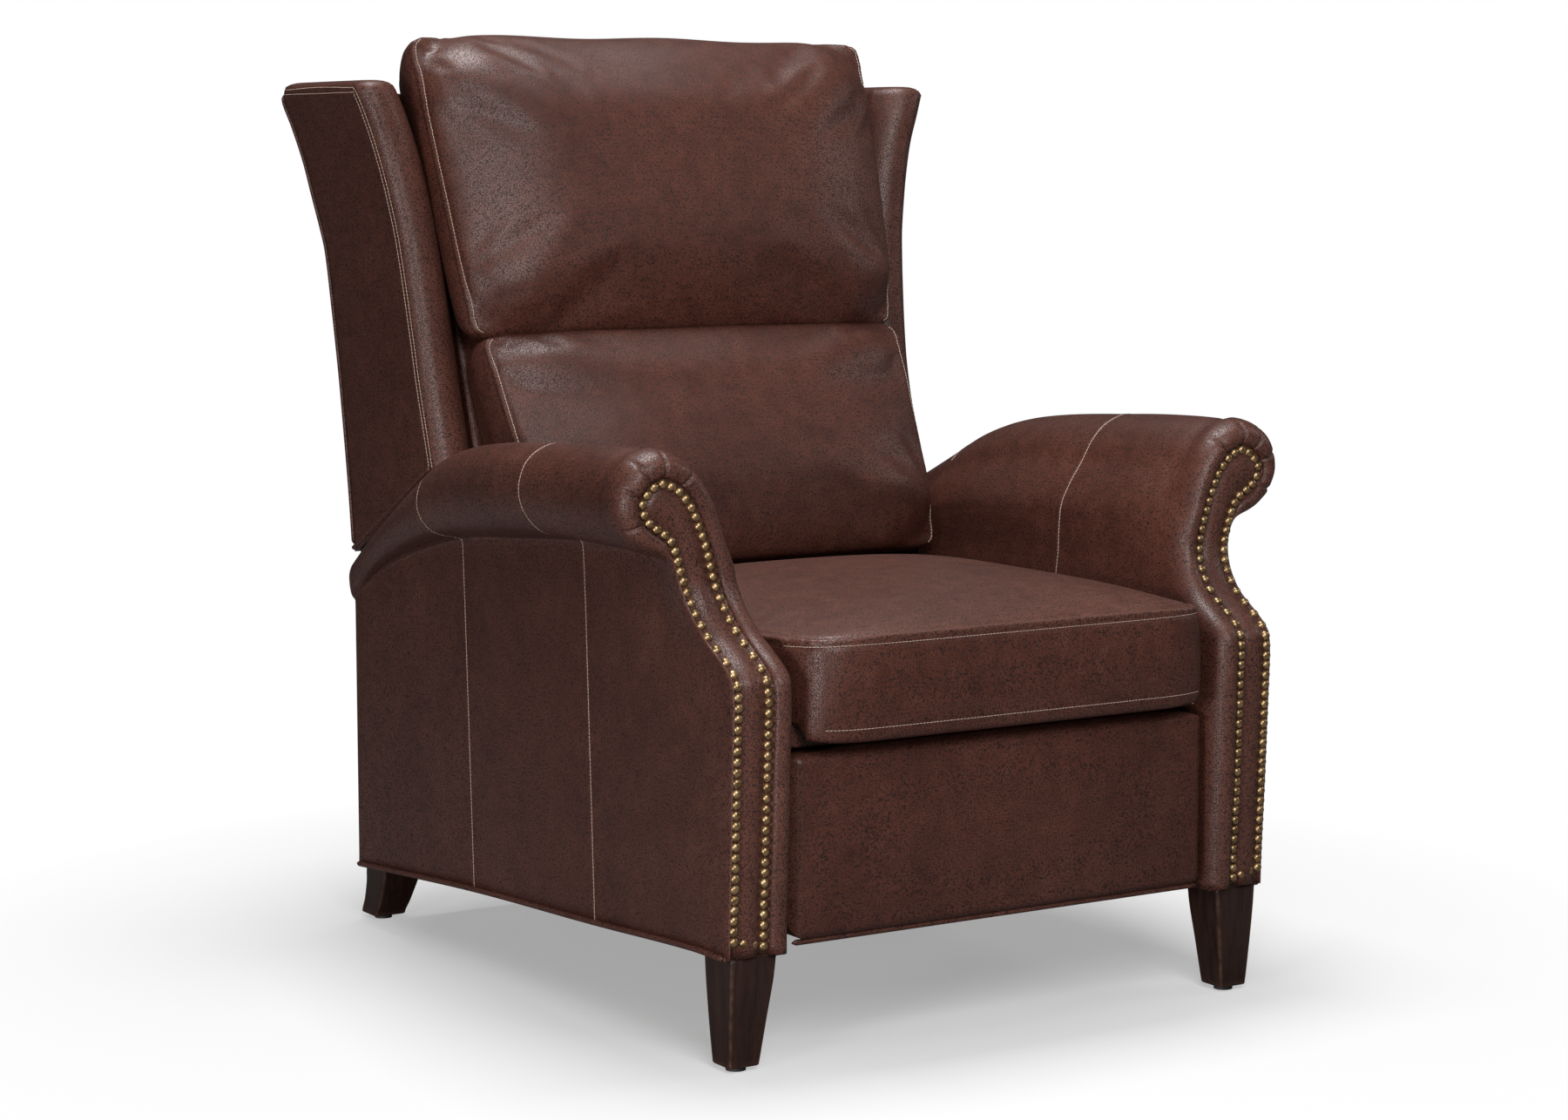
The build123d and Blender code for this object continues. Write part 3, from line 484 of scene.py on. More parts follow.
hide = leatherFinish("pebbledHide")
hidePlain = leatherFinish("pebbledHidePlain", worn=False)
thread = threadFinish("palethread")
brass = brassFinish("antiqueBrass")
legWood = woodFinish("espressoWood", (0.011, 0.0046, 0.0033, 1), (0.030, 0.0120, 0.0080, 1), 0.36, worn=True)
frameWood = woodFinish("plainFrameWood", (0.30, 0.19, 0.10, 1), (0.48, 0.34, 0.20, 1), 0.55)
enamel = steelFinish("blackEnamel", (0.012, 0.012, 0.013, 1), 0.0, 0.35)
brightSteel = steelFinish("plainSteel", (0.36, 0.36, 0.37, 1), 1.0, 0.3)
glidePlastic = steelFinish("glidePlastic", (0.02, 0.02, 0.02, 1), 0.0, 0.5)


def dress(obj, finish, body, replaced=(), wear=None):
    # the attribute says how much paler each point is, for the finishes: wear, and painted light where the
    # lamps fall on the seat top, with painted highlights on the nail panels, arm borders and wing strips
    if wear is not None:
        layer = obj.data.attributes.new("wear", "FLOAT", "POINT")
        values = np.broadcast_to(np.ravel(wear), len(obj.data.vertices))
        layer.data.foreach_set("value", values.astype(np.float32))
    obj.data.materials.clear()
    obj.data.materials.append(finish)
    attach(obj, body)
    if replaced:
        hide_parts(*replaced)
    return obj


def sew(name, path, up, stitch, body):
    dress(stitches(name, path, up, stitch), thread, body)


def weltOn(name, path, radius, body, wear, up=(0.0, 0.0, 1.0)):
    dress(tube(name, path, radius, up), hide, body, wear=wear)


# Arms: cover over pad, roll and outside panel, ending in the rounded border of the arm front

arm = {
    "front": [(-20, -5), (127, 0), (250, -4.7), (340, -8), (392, -10), (412, -9.6), (426, -6.5), (437, 4),
              (447, 18), (456, 32), (465.5, 46), (480, 60.5), (494, 71), (510, 78.5), (526, 82), (560, 82),
              (700, 82)],
    # outline of the cover from the inner foot over the roll to the outer foot:
    # x at the front, x of the body, height, x of the nail line, its height
    "outline": [
        (285, 285, 127, 321, 131), (285, 285, 180, 321, 180), (285, 285, 250, 321, 250),
        (285, 285, 335, 320.5, 335), (285, 285, 395, 320, 395), (285.5, 285.5, 430, 321.5, 432),
        (289, 289, 466, 323, 466), (293, 293, 492, 326, 493), (296.5, 294.5, 514, 330, 514),
        (300, 296.5, 536, 335, 536), (308.5, 300.5, 556, 341, 557), (319, 313, 580, 349, 579),
        (330, 330, 605, 359, 601), (345, 345, 630, 371, 616), (366, 366, 650, 382, 624),
        (395, 395, 661, 394, 628), (420, 420, 655, 405, 624), (438, 438, 640, 413, 617),
        (446.5, 446.5, 618, 418.5, 609), (446, 446, 598, 418.5, 599), (438, 438, 579, 412, 588),
        (426, 422, 562, 403, 581), (411, 401, 553.5, 394, 575.5), (398, 381, 549.5, 386, 569),
        (388, 369, 546.5, 380.5, 558), (382, 366.3, 540, 376.5, 547), (378, 365.6, 528, 371.5, 530),
        (373, 365.3, 505, 365.5, 507), (367.5, 365, 470, 360.5, 472), (365, 365, 425, 358, 430),
        (365, 365, 340, 358, 340), (365, 365, 230, 358, 230), (365, 365, 127, 358, 131)],
    # along the depth: top of the roll, its x, its outermost x, the crease below it, the lower edge
    "crown": [(60, 661), (170, 661), (311, 655), (471, 640), (560, 620), (620, 592), (700, 553), (765, 522),
              (830, 494), (905, 462), (920, 455)],
    "crownX": [(60, 395), (470, 395), (620, 394), (700, 391), (765, 386), (830, 372), (905, 352), (920, 350)],
    "outerX": [(60, 447), (310, 446), (470, 438), (620, 423), (700, 411), (765, 399), (830, 387), (905, 372),
               (920, 370)],
    "under": [(60, 550), (121, 550), (302, 549), (470, 537), (582, 525), (712, 496), (810, 463), (905, 413),
              (920, 405)],
    "bottom": [(0, 127), (70, 127), (283, 114), (577, 98), (911, 72), (930, 72)],
    # places on the outline: where the inside starts to lean, top, crease, foot, outside panel, widest
    "leanX": 300, "leanZ": 430, "topX": 395, "topZ": 661, "creaseZ": 550, "footZ": 127, "panelX": 365,
    "wideX": 447, "webX": 298.6, "midX": 335,
    "seams": [(283, 114, 303, 548), (577, 98, 597, 522)], "end": 911.0, "endRound": 18.0, "padEnd": 600.0,
    "nailStrip": 6.4, "lift": 2.9, "endTop": 440.0, "proud": 3.2, "scroll": (396, 604),
    "pleats": (-0.52, 0.40, 1.02, 1.62, 2.42), "puffs": (-0.06, 0.71, 1.32, 2.02)}
outlineKnots = np.array([(i, *row) for i, row in enumerate(arm["outline"])], float)
vAt = np.concatenate([np.linspace(0, 11, 66)[:-1], np.linspace(11, 25, 169)[:-1], np.linspace(25, 32, 43)])
outlineNow = curve(outlineKnots, vAt)


def columnAt(v):
    # column of the outline nearest to a place among its knots
    return np.argmin(np.abs(vAt - v))


def frontDepth(z):
    return curve(arm["front"], z)


def coverAt(d, frontShare):
    # outline moved to its place at each depth: d is a grid over (rows, outline),
    # frontShare blends to the front outline
    xf, xb, z = outlineNow[:, 0], outlineNow[:, 1], outlineNow[:, 2]
    v = np.arange(len(vAt))
    x = between(xb, xf, frontShare)
    zc, xc, xo = curve(arm["crown"], d), curve(arm["crownX"], d), curve(arm["outerX"], d)
    zu, zb = curve(arm["under"], d), curve(arm["bottom"], d)
    inner, upper = v <= columnAt(15), v <= columnAt(23)
    topZ, topX, leanX, leanZ = arm["topZ"], arm["topX"], arm["leanX"], arm["leanZ"]
    creaseZ, footZ, panelX, wideX = arm["creaseZ"], arm["footZ"], arm["panelX"], arm["wideX"]
    zInner = np.where(z < leanZ, z, leanZ + (z - leanZ) * (zc - leanZ) / (topZ - leanZ))
    zRoll = zu + (z - creaseZ) * (zc - zu) / (topZ - creaseZ)
    zPanel = zb + (z - footZ) * (zu - zb) / (creaseZ - footZ)
    zNew = np.where(inner, zInner, np.where(upper, zRoll, zPanel))
    xInner = np.where(x < leanX, x, leanX + (x - leanX) * (xc - leanX) / (topX - leanX))
    xUp = xc + (x - topX) * (xo - xc) / (wideX - topX)
    xDown = panelX + (x - panelX) * (xo - panelX) / (wideX - panelX)
    xPanel = np.minimum(x, panelX) + np.maximum(x - panelX, 0) * (xo - panelX) / (wideX - panelX)
    xNew = np.where(inner, xInner, np.where(v <= columnAt(18.4), xUp, np.where(upper, xDown, xPanel)))
    hidden = smoothStep(arm["padEnd"] - 6, arm["padEnd"] + 4, d) * inner
    return xNew + hidden * np.maximum(arm["webX"] - xNew, 0), zNew


def armCover(side):
    # rows t of the border run from the nail line over a rounded edge,
    # rows q run back along the arm between the seams, and a few rows close the rear end
    ex, ez = outlineNow[:, 0], outlineNow[:, 2]
    nx, nz = outlineNow[:, 3], outlineNow[:, 4]
    wide = np.hypot(ex - nx, ez - nz)
    flat = np.minimum(arm["nailStrip"], 0.5 * wide)
    swell, turn = np.clip(0.3 * (wide - flat), 0.8, 9.5), np.clip(0.75 * wide, 6, 25)
    t = np.linspace(0, 1, 20)[:, None]
    phi = (np.clip((t - 0.15) / 0.85, 0, 1) * 2 - 1) * pi / 2
    over = np.where(phi < 0, 0.36 + 0.36 * np.sin(phi), 0.36 + 0.64 * np.sin(phi))
    lat = (flat * np.clip(t / 0.15, 0, 1) + (wide - flat) * over) / wide
    dep = np.where(phi < 0, -swell * np.cos(phi), turn - (turn + swell) * np.cos(phi))
    # pleats gathered round the scroll
    angle = np.arctan2(ez - arm["scroll"][1], ex - arm["scroll"][0])
    ring = smoothStep(560, 578, ez + 0 * t) * smoothStep(300, 330, ex)
    fold = sum(bump(angle - a, 0.042) for a in arm["pleats"])
    puff = sum(bump(angle - a, 0.22) for a in arm["puffs"])
    reach = smoothStep(0.12, 0.3, t) * smoothStep(0.95, 0.6, t)
    dep = dep + ring * reach * (4.5 * fold - 1.0 * puff)
    lat = lat - ring * reach * 0.05 * fold
    x, z = between(nx, ex, lat), between(nz, ez, lat)
    rayX, rayZ = np.cos(angle), np.sin(angle)
    proud = arm["proud"] * ring * smoothStep(0.4, 0.85, t)
    x, z = x + rayX * proud, z + rayZ * proud
    border = np.stack([x, frontDepth(z) - arm["lift"] + dep, z], -1)
    # body, with rows crowded at the seams
    start = frontDepth(ez) - arm["lift"] + turn
    s1, s2 = [d0 + (np.clip(ez, z0, z1) - z0) * (d1 - d0) / (z1 - z0) for d0, z0, d1, z1 in arm["seams"]]
    near = np.array([0.8, 1.6, 2.6, 4.0, 6.5, 10.0])
    q1 = [np.linspace(0, 1, 22)[1:-1], 1 - near / 200, [1.0]]
    q2 = [np.linspace(0, 1, 30)[1:-1], near / 294, 1 - near / 294, [1.0]]
    q3 = [np.linspace(0, 1, 32)[1:-1], near / 314, 0.945 + 0.055 * np.linspace(0, 1, 7)]
    q1, q2, q3 = [np.unique(np.round(np.concatenate(q), 5))[:, None] for q in (q1, q2, q3)]
    d = np.concatenate([between(start, s1, q1), between(s1, s2, q2), between(s2, arm["end"], q3)])
    x, z = coverAt(d, bump(np.maximum(d - start, 0), 34))
    slack = 1.3 * np.sin(pi * np.clip((d - s1) / (s2 - s1), 0, 1))
    slack = slack + 0.8 * np.sin(pi * np.clip((d - start) / (s1 - start), 0, 1))
    groove = sum(h * (0.35 * bump(np.abs(d - s) - 4, 2.5) - 0.8 * bump(d - s, 1.3))
                 for s, h in ((s1, 1.0), (s2, smoothStep(12, 14, vAt))))
    proud = ring[:1] * (arm["proud"] * bump(d - start, 8) - 1.6 * bump(d - start - 17, 5))
    body = np.stack([x + rayX * proud, d, z + rayZ * proud], -1)
    n = gridNormals(body)
    n *= np.sign(n[40, -30, 0])
    back = np.clip((d - (arm["end"] - arm["endRound"])) / arm["endRound"], 0, 1)
    tuck = arm["endRound"] * (1 - np.sqrt(1 - back**2 * 0.995))
    inX, inZ = arm["midX"] - x, np.clip(z, 90, curve(arm["crown"], d) - 45) - z
    far = np.maximum(np.hypot(inX, inZ), 1e-6)
    inward = np.stack([inX / far, 0 * x, inZ / far], -1)
    body = body + n * (groove + slack)[..., None] + inward * (tuck * np.clip(far / 12, 0, 1))[..., None]
    # rear end
    q = np.linspace(0, 1, 6)[1:, None]
    lastX, lastD, lastZ = body[-1].T
    cap = np.stack([between(lastX, arm["midX"], q), lastD + 1.5 * np.sin(q * pi / 2),
                    between(lastZ, np.clip(lastZ, 92, arm["endTop"]), q)], -1)
    P = np.concatenate([border, body, cap])
    inner = np.arange(len(vAt) - 1) < columnAt(3)
    keep = ~(inner[None] & (np.arange(len(P) - 1) > len(border) + 3)[:, None])
    k = sides[side]
    obj = gridMesh("armCover" + side.capitalize(), placed(P, k), keep=keep, merge=False, flip=k > 0)
    wall(obj, 3.0)
    # paler on the crest of the border, edge wear and a painted highlight, and along both seams
    rubbedAndLit = 0.35 * bump(t - 0.62, 0.22) * np.ones(len(vAt))
    wear = np.concatenate([rubbedAndLit, 0.25 * sum(bump(d - s, 2.2) for s in (s1, s2)), 0 * cap[..., 0]])
    seams = []
    for row, first in ((len(q1) - 1, columnAt(4)), (len(q1) + len(q2) - 1, columnAt(13))):
        seams.append(body[row, first:] + 0.45 * n[row, first:])
    return obj, wear, seams


armStitch = {"pitch": 4.2, "length": 4.5, "radius": 0.55}
for side, k in sides.items():
    cover, wear, seams = armCover(side)
    covered = [f"{n}_{side}" for n in ("side_panel", "inside_arm", "arm_roll", "arm_border")]
    dress(cover, hide, "base", covered, wear)
    for i, seam in enumerate(seams):
        sew(f"armSeam{i + 1}{side.capitalize()}", placed(seam, k), (0.0, 1.0, 0.0), armStitch, "base")
print("arms covered")


# Nailed panel of the arm front, crowned between its two nail lines

panel = {
    "inner": [(321, 130), (321, 300), (320, 395), (321.5, 432), (323, 466), (330, 514), (341, 558),
              (354, 593), (373, 618), (394, 629), (411, 620), (420, 605)],
    "outer": [(358, 130), (358, 300), (358, 400), (358.5, 440), (360.5, 472), (366, 508), (374, 540),
              (381, 560), (390, 573), (400, 580), (412, 588), (420, 605)], "crown": 4.2}


def nailPanel(side):
    # straight rules between the two lines, bowed forward by a sine across
    knots = np.array([(i, *a, *b) for i, (a, b) in enumerate(zip(panel["inner"], panel["outer"]))], float)
    at = curve(knots, np.linspace(0, len(knots) - 1, 150))
    t = np.linspace(0, 1, 25)
    x, z = between(at[:, :1], at[:, 2:3], t), between(at[:, 1:2], at[:, 3:4], t)
    wide = np.hypot(at[:, 2] - at[:, 0], at[:, 3] - at[:, 1])[:, None]
    across = np.minimum(t, 1 - t) * wide - arm["nailStrip"] + 1
    across = np.clip(across / np.maximum(wide / 2 - arm["nailStrip"], 3), 0, 1)
    bow = panel["crown"] * np.clip((wide - 12) / 25, 0, 1) * np.sin(across * pi / 2)
    P = place(x, frontDepth(z) - arm["lift"] - bow, z, sides[side])
    obj = gridMesh("nailPanel" + side.capitalize(), P, merge=False, flip=sides[side] > 0)
    wall(obj, 1.5)
    # paler towards the middle of the bow: a painted highlight on the crown
    return obj, 0.3 * (bow / panel["crown"]) ** 2


nails = {"radius": 5.65, "height": 4.3, "pitch": 11.4, "low": 135.0,
         "rings": [(1.0, -0.25), (0.985, 0.16), (0.86, 0.55), (0.6, 0.85), (0.3, 0.97)], "around": 12}


def nailHeads(side):
    # domes of a few rings and a tip along the nail line and its foot, each turned to the slope of the front
    line = outlineNow[:, 3:5]
    line = line[line[:, 1] >= nails["low"]]
    row = evenly(np.array([line[-1], line[0]]), nails["pitch"])[1:-1]
    x, z = np.concatenate([evenly(line, nails["pitch"]), row]).T
    slope = (frontDepth(z + 2) - frontDepth(z - 2)) / 4
    out = np.stack([0 * x, -1 + 0 * x, slope], -1) / np.hypot(1, slope)[:, None]
    right = np.array([1.0, 0, 0])
    up = np.cross(out, right)
    r, h = np.array(nails["rings"]).T
    count, tip = nails["around"], nails["around"] * len(r)
    a = np.linspace(0, 2 * pi, count, endpoint=False)
    ring = nails["radius"] * r[:, None, None] * np.stack([np.cos(a), np.sin(a)], -1)
    ring = np.vstack([ring.reshape(-1, 2), [[0, 0]]])
    high = nails["height"] * np.concatenate([np.repeat(h, count), [1.0]])
    base = np.stack([x, frontDepth(z) - arm["lift"], z], -1)
    P = base[:, None] + ring[:, :1] * right + ring[:, 1:] * up[:, None] + high[:, None] * out[:, None]
    nth = (tip + 1) * np.arange(len(x))[:, None, None]
    quads = gridFaces(len(r), count, wrap=True).reshape(-1, 4) + nth
    last = np.arange(tip - count, tip)
    crown = np.stack([last, np.roll(last, -1), np.full(count, tip)], -1) + nth
    faces = [f for q, c in zip(quads.tolist(), crown.tolist()) for f in q + c]
    obj = meshFrom("nailHeads" + side.capitalize(), placed(P, sides[side]), faces, merge=False)
    closeUp(obj.data)
    return obj


for side in sides:
    front, wear = nailPanel(side)
    dress(front, hide, "base", [f"arm_front_{side}"], wear=wear)
    dress(nailHeads(side), brass, "base", [f"nailheads_{side}"])
print("arm fronts nailed")


# Rear ends of the arms and welt along the foot of the base

rearEnd = {"low": 74, "high": 410, "inX": 299.2, "wide": 60.8}
welt = {"radius": 3.4, "seat": 1.2, "x": 366, "frontX": 290, "frontD": 4, "frontZ": 128}
for side, k in sides.items():
    # level rows round the inner corner (t below 0), across the rear and round the outer corner
    z = np.linspace(rearEnd["low"], rearEnd["high"], 60)[:, None]
    t = np.linspace(-0.6, 1, 34)
    x = rearEnd["inX"] + rearEnd["wide"] * np.maximum(t, 0)
    d = arm["end"] - 2 - 9 * np.maximum(t - 0.8, 0) ** 2 / 0.04
    d = d + 2.0 * np.sin(pi * np.maximum(t, 0)) - 70 * np.maximum(-t, 0)
    rear = gridMesh("armRear" + side.capitalize(), place(x, d, z, k), merge=False, flip=k < 0)
    wall(rear, 3.0)
    dress(rear, hide, "base", wear=0)
    d = np.linspace(6, 900, 160)
    line = place(welt["x"], d, curve(arm["bottom"], d) + welt["seat"], k)
    across = place(np.linspace(welt["frontX"], welt["x"], 40), welt["frontD"], welt["frontZ"], k)
    for name, path in (("baseWelt", line), ("frontWelt", across)):
        weltOn(name + side.capitalize(), path, welt["radius"], "base", 0.25)
print("base welted")


# Cushions: loops run from the middle of one face over its edge and round to the other face

def roundedLoop(count, power):
    # superellipse |w|^power + |a|^power = 1, its points spread evenly along it
    a = np.linspace(0, 2 * pi, 4 * count + 1)
    p = np.stack([np.cos(a), np.sin(a)], -1)
    p /= (np.abs(p) ** power).sum(1, keepdims=True) ** (1 / power)
    length = np.concatenate([[0], np.cumsum(np.linalg.norm(np.diff(p, axis=0), axis=1))])
    at = np.linspace(0, length[-1], count, endpoint=False)
    return np.stack([np.interp(at, length, p[:, k]) for k in (0, 1)], -1)


def loopRows(face, box, back, rim=0, power=1.0):
    # for each loop its share of the full width, and how far it has gone down the boxing:
    # sine steps over the face, the boxing, a rim that stands still, and even steps over the back
    share = np.concatenate([np.sin(np.linspace(0, 1, face + 1)[1:] * pi / 2) ** power, np.ones(box + rim),
                            np.linspace(1, 0.05, back + 1)[1:]])
    down = np.concatenate([np.zeros(face), np.linspace(0, 1, box + 1)[1:], np.ones(rim + back)])
    return share[:, None], down[:, None]


backFill = {"voxel": 6.0, "pressure": 4.0, "stretch": 25.0, "bending": 8.0, "cap": 18.0, "ease": 7}
upper = {"low": 346, "high": 733, "lowHalf": 306, "highHalf": 331, "lowSeam": 72, "highSeam": 66,
         "topSeam": 28, "lowFace": 122, "highFace": 116, "lowFlat": 436, "highFlat": 618, "roll": 101,
         "crown": 9, "wave": 2.2, "backLow": 372, "backHigh": 700, "backHalf": (291, 326), **backFill}
lower = {"low": 42, "high": 348, "lowHalf": 277, "highHalf": 303, "lowSeam": 130, "highSeam": 84,
         "topSeam": 84, "lowFace": 164, "highFace": 121, "lowFlat": 124, "highFlat": 268, "roll": 108,
         "crown": 2, "wave": 0.5, "backLow": 62, "backHigh": 338, "backHalf": (268, 291), **backFill}


def upShare(c, a):
    return np.clip((a - c["low"]) / (c["high"] - c["low"]), 0, 1)


def halfWidth(c, a):
    return between(c["lowHalf"], c["highHalf"], upShare(c, a))


def seamHeight(c, a, w):
    # forward place of the sewn edge: sloping along the sides, dropping to the back where the top rolls over
    side = between(c["lowSeam"], c["highSeam"], upShare(c, a))
    return between(side, c["topSeam"], smoothStep(c["highFlat"] + 40, c["high"], a) * smoothStep(1.0, 0.7, w))


def backPillow(name, c):
    # face flat in the middle, turning down as quarter ellipses to the sides, foot and top,
    # then a boxing and a flat back
    loop = roundedLoop(320, 26)
    w, a = loop[:, 0], loop[:, 1]
    s, b = loopRows(35, 8, 13)
    up = 0.5 + 0.5 * a * s
    half = between(c["lowHalf"], c["highHalf"], up)
    W = w * s * half
    rise = c["crown"] * (1 - np.abs(w * s) ** 4) + c["wave"] * np.sin(8.5 * w * s + 0.6)
    A = between(c["low"], c["high"], up) + rise * smoothStep(0.3, 1.0, a * s)
    top = c["high"] + rise
    across = np.clip((np.abs(W) - half + c["roll"]) / c["roll"], 0, 1)
    along = np.where(A > c["highFlat"], (A - c["highFlat"]) / (top - c["highFlat"]),
                     (c["lowFlat"] - A) / (c["lowFlat"] - c["low"]))
    turn = np.clip((across**2.4 + np.clip(along, 0, 1) ** 2.4) ** (1 / 2.4), 0, 1)
    seam = seamHeight(c, A, np.abs(W) / half)
    flat = np.clip((A - c["lowFlat"]) / (c["highFlat"] - c["lowFlat"]), 0, 1)
    front = between(seam, between(c["lowFace"], c["highFace"], flat), np.sqrt(1 - turn**2))
    W = between(W, w * s * between(*c["backHalf"], up), smoothStep(0.3, 1, b))
    W = W + 5 * w * np.sin(pi * b) * (b < 1)
    A = between(A, between(c["backLow"], c["backHigh"], up), smoothStep(0.15, 1, b))
    P = onBack(W, A, np.where(b > 0, between(seam, 1.8, b), front))
    return loftClosed(name, P), P[34]


def upBack(P):
    # distances across, up and forward of the raked back for points in millimetres
    s, c = sin(chair["rake"]), cos(chair["rake"])
    d, z = P[:, 1] - chair["seatD"], P[:, 2] - chair["backFootZ"]
    return P[:, 0], d * s + z * c, z * s - d * c


def backHeld(P, c):
    # all behind the sewn edge stays put
    x, a, f = upBack(P)
    return smoothStep(9, 1, f - seamHeight(c, a, np.abs(x) / halfWidth(c, a)))


def wrinkle(P, n, marks):
    # long narrow folds: each mark is a start, an end, a depth and a half-width; depth fades along it
    out = np.zeros(len(P))
    for start, end, depth, width in marks:
        a, b = np.asarray(start), np.asarray(end)
        t = np.clip(((P - a) @ (b - a)) / ((b - a) @ (b - a)), 0, 1)
        away = np.linalg.norm(P - a - t[:, None] * (b - a), axis=1)
        out += -depth * 0.001 * bump(away, width * 0.001) * np.sin(pi * np.clip(0.12 + 0.88 * t, 0, 1)) ** 0.7
    return P + n * out[:, None]


def sewEdge(obj, line, ridge):
    # raise a narrow seam along a line laid on the piece, with a shallow dip on each side of it
    P, N = coordinates(obj), normalsOf(obj)
    away = nearest(P, evenly(line, 0.002)) * 1000
    reshape(obj, P + N * (0.001 * ridge * (bump(away, 2.4) - 0.55 * bump(away - 5.5, 2.6)))[:, None])
    return away


backStitch = {"pitch": 4.2, "length": 4.3, "radius": 0.55, "ridge": 1.5, "inset": (-0.003, -0.0035)}
cushions = (("upperBackPad", "upper_back_cushion", upper), ("lowerBackPad", "lower_back_cushion", lower))
for name, node, c in cushions:
    pad, edge = backPillow(name, c)
    plump(pad, c, lambda P: backHeld(P, c))
    x, a, f = upBack(layout(edge))
    atSide = np.abs(x) / halfWidth(c, a) > 0.972
    runs = {}
    for side, k in sides.items():
        run = edge[(edge[:, 0] * k > 0) & atSide]
        runs[side] = onSurface(pad, evenly(run[np.argsort(run[:, 2])], 0.004))[0]
    away = sewEdge(pad, np.concatenate(list(runs.values())), backStitch["ridge"])
    dress(pad, hide, "back", [node], 0.22 * bump(away, 3.5))
    inX, inD = backStitch["inset"]
    for side, k in sides.items():
        mid, up = onSurface(pad, runs[side] + np.array([inX * k, inD, 0]))
        sew(f"{name}Stitch{side.capitalize()}", mid + up * 0.0003, (0.0, -1.0, 0.3), backStitch, "back")
print("back cushions sewn")

lining = {"half": 292.2, "wrap": 292.5, "depth": -39.2, "low": -20, "topZ": 1061.3, "rearIn": 32.0,
          "lift": 0.7}


def backLining():
    # skin over the front of the stiles and board, round their outer sides and rear, and level over their tops
    s, c = sin(chair["rake"]), cos(chair["rake"])
    t = np.linspace(-1, 1, 121)
    far = np.abs(t)
    out, rear = np.clip((far - 0.6) / 0.2, 0, 1), np.clip((far - 0.8) / 0.2, 0, 1)
    W = np.where(far < 0.6, far / 0.6 * lining["half"], lining["wrap"] - lining["rearIn"] * rear)
    over = np.concatenate([np.zeros(80), np.linspace(0.05, 1, 8)])[:, None]
    F = lining["lift"] + lining["depth"] * np.maximum(out, over)
    high = (lining["topZ"] - chair["backFootZ"] - F * s) / c
    a = between(lining["low"], high, np.minimum(np.linspace(0, 1.1, 88), 1)[:, None])
    return gridMesh("backLining", onBack(np.sign(t) * W, a, F), merge=False, flip=True)


dress(backLining(), hide, "back", wear=0)


# Seat cushion

seat = {"half": 279, "front": -28, "rear": 528, "top": 463, "crown": 30, "low": 371, "lip": 349, "lipD": 13,
        "voxel": 6.2, "pressure": 4.0, "stretch": 30.0, "bending": 0.5, "cap": 22.0, "ease": 3}


def seatPillow():
    # plan loop is a rounded oblong; the top domes over it, the walls swell a little, the front hangs as a lip
    loop = roundedLoop(280, 11)
    w, a = loop[:, 0], loop[:, 1]
    share, b = loopRows(23, 12, 13)
    mid, long = (seat["front"] + seat["rear"]) / 2, (seat["rear"] - seat["front"]) / 2
    frontness = smoothStep(0.55, 1.0, -a)
    swell = 5 * np.sin(pi * b) * (b < 1)
    corner = 9 * (1 - b) * np.abs(w) ** 6 * frontness
    X = w * share * (seat["half"] - corner + swell * (1 - frontness) * 0.5)
    D = mid + a * share * (long + swell * frontness)
    dome = (1 - np.abs(w * share) ** 2.6) * (1 - np.abs(np.clip(a * share, -1, 1)) ** 3.2)
    top = seat["top"] + seat["crown"] * np.clip(dome, 0, 1) ** 0.72 - 4 * np.abs(w * share) ** 8
    hem = between(seat["lip"], seat["low"], smoothStep(seat["lipD"] - 18, seat["lipD"], D))
    P = place(X, D, np.where(b <= 0, top, between(top, hem, b)))
    return loftClosed("seatPad", P), P[22]


def seatHeld(P):
    # the underside, the walls that face the arms and the back, and the sewn front edge stay put
    x, d, z = np.abs(P[:, 0]), P[:, 1], P[:, 2]
    facing = np.maximum(smoothStep(262, 270, x), smoothStep(505, 515, d)) * smoothStep(463, 455, z)
    sewn = 0.9 * bump(nearest(P, evenly(layout(seatEdge), 4)), 5)
    return np.maximum.reduce([smoothStep(376, 368, z), facing, sewn])


seatPad, seatEdge = seatPillow()
plump(seatPad, seat, seatHeld)
marks = []
faceD = seat["front"] - 6
for x in np.linspace(-235, 235, 26) + rng.uniform(-8, 8, 26):
    z, long = rng.uniform(418, 452), rng.uniform(25, 70)
    lean = rng.uniform(-9, 9)
    marks.append((place(x, faceD, z), place(x + lean, faceD, z - long),
                  rng.uniform(0.3, 1.1), rng.uniform(3.5, 6)))
reshape(seatPad, wrinkle(coordinates(seatPad), normalsOf(seatPad), marks))
edge = onSurface(seatPad, evenly(np.vstack([seatEdge, seatEdge[:1]]), 0.004))[0]
away = sewEdge(seatPad, edge, 2.2)
# painted light: the faces that turn upwards are paler, where the lamps above fall; also paler along the sewn
# edge
rubbedAndLit = 0.35 * bump(away, 5.0) + 0.26 * smoothStep(0.6, 0.95, normalsOf(seatPad)[:, 2])
dress(seatPad, hide, "seat", ["seat_cushion"], rubbedAndLit)
seatStitch = {"pitch": 4.4, "length": 4.3, "radius": 0.45, "below": 8.0, "lowZ": 364, "lowHalf": 262,
              "sides": 60.0}
front = seatEdge[seatEdge[:, 1] * 1000 + chair["centre"] < seat["front"] + seatStitch["sides"]]
front = evenly(front[np.argsort(np.arctan2(front[:, 0], front[:, 1].max() + 0.05 - front[:, 1]))], 0.004)
x = np.linspace(-seatStitch["lowHalf"], seatStitch["lowHalf"], 130)
for name, path in (("seatTopStitch", front - np.array([0, 0, 0.001 * seatStitch["below"]])),
                   ("seatLowStitch", place(x, seat["front"] - 12, seatStitch["lowZ"]))):
    line, n = onSurface(seatPad, path)
    sew(name, line + n * 0.0003, (0.0, -0.3, 1.0), seatStitch, "seat")

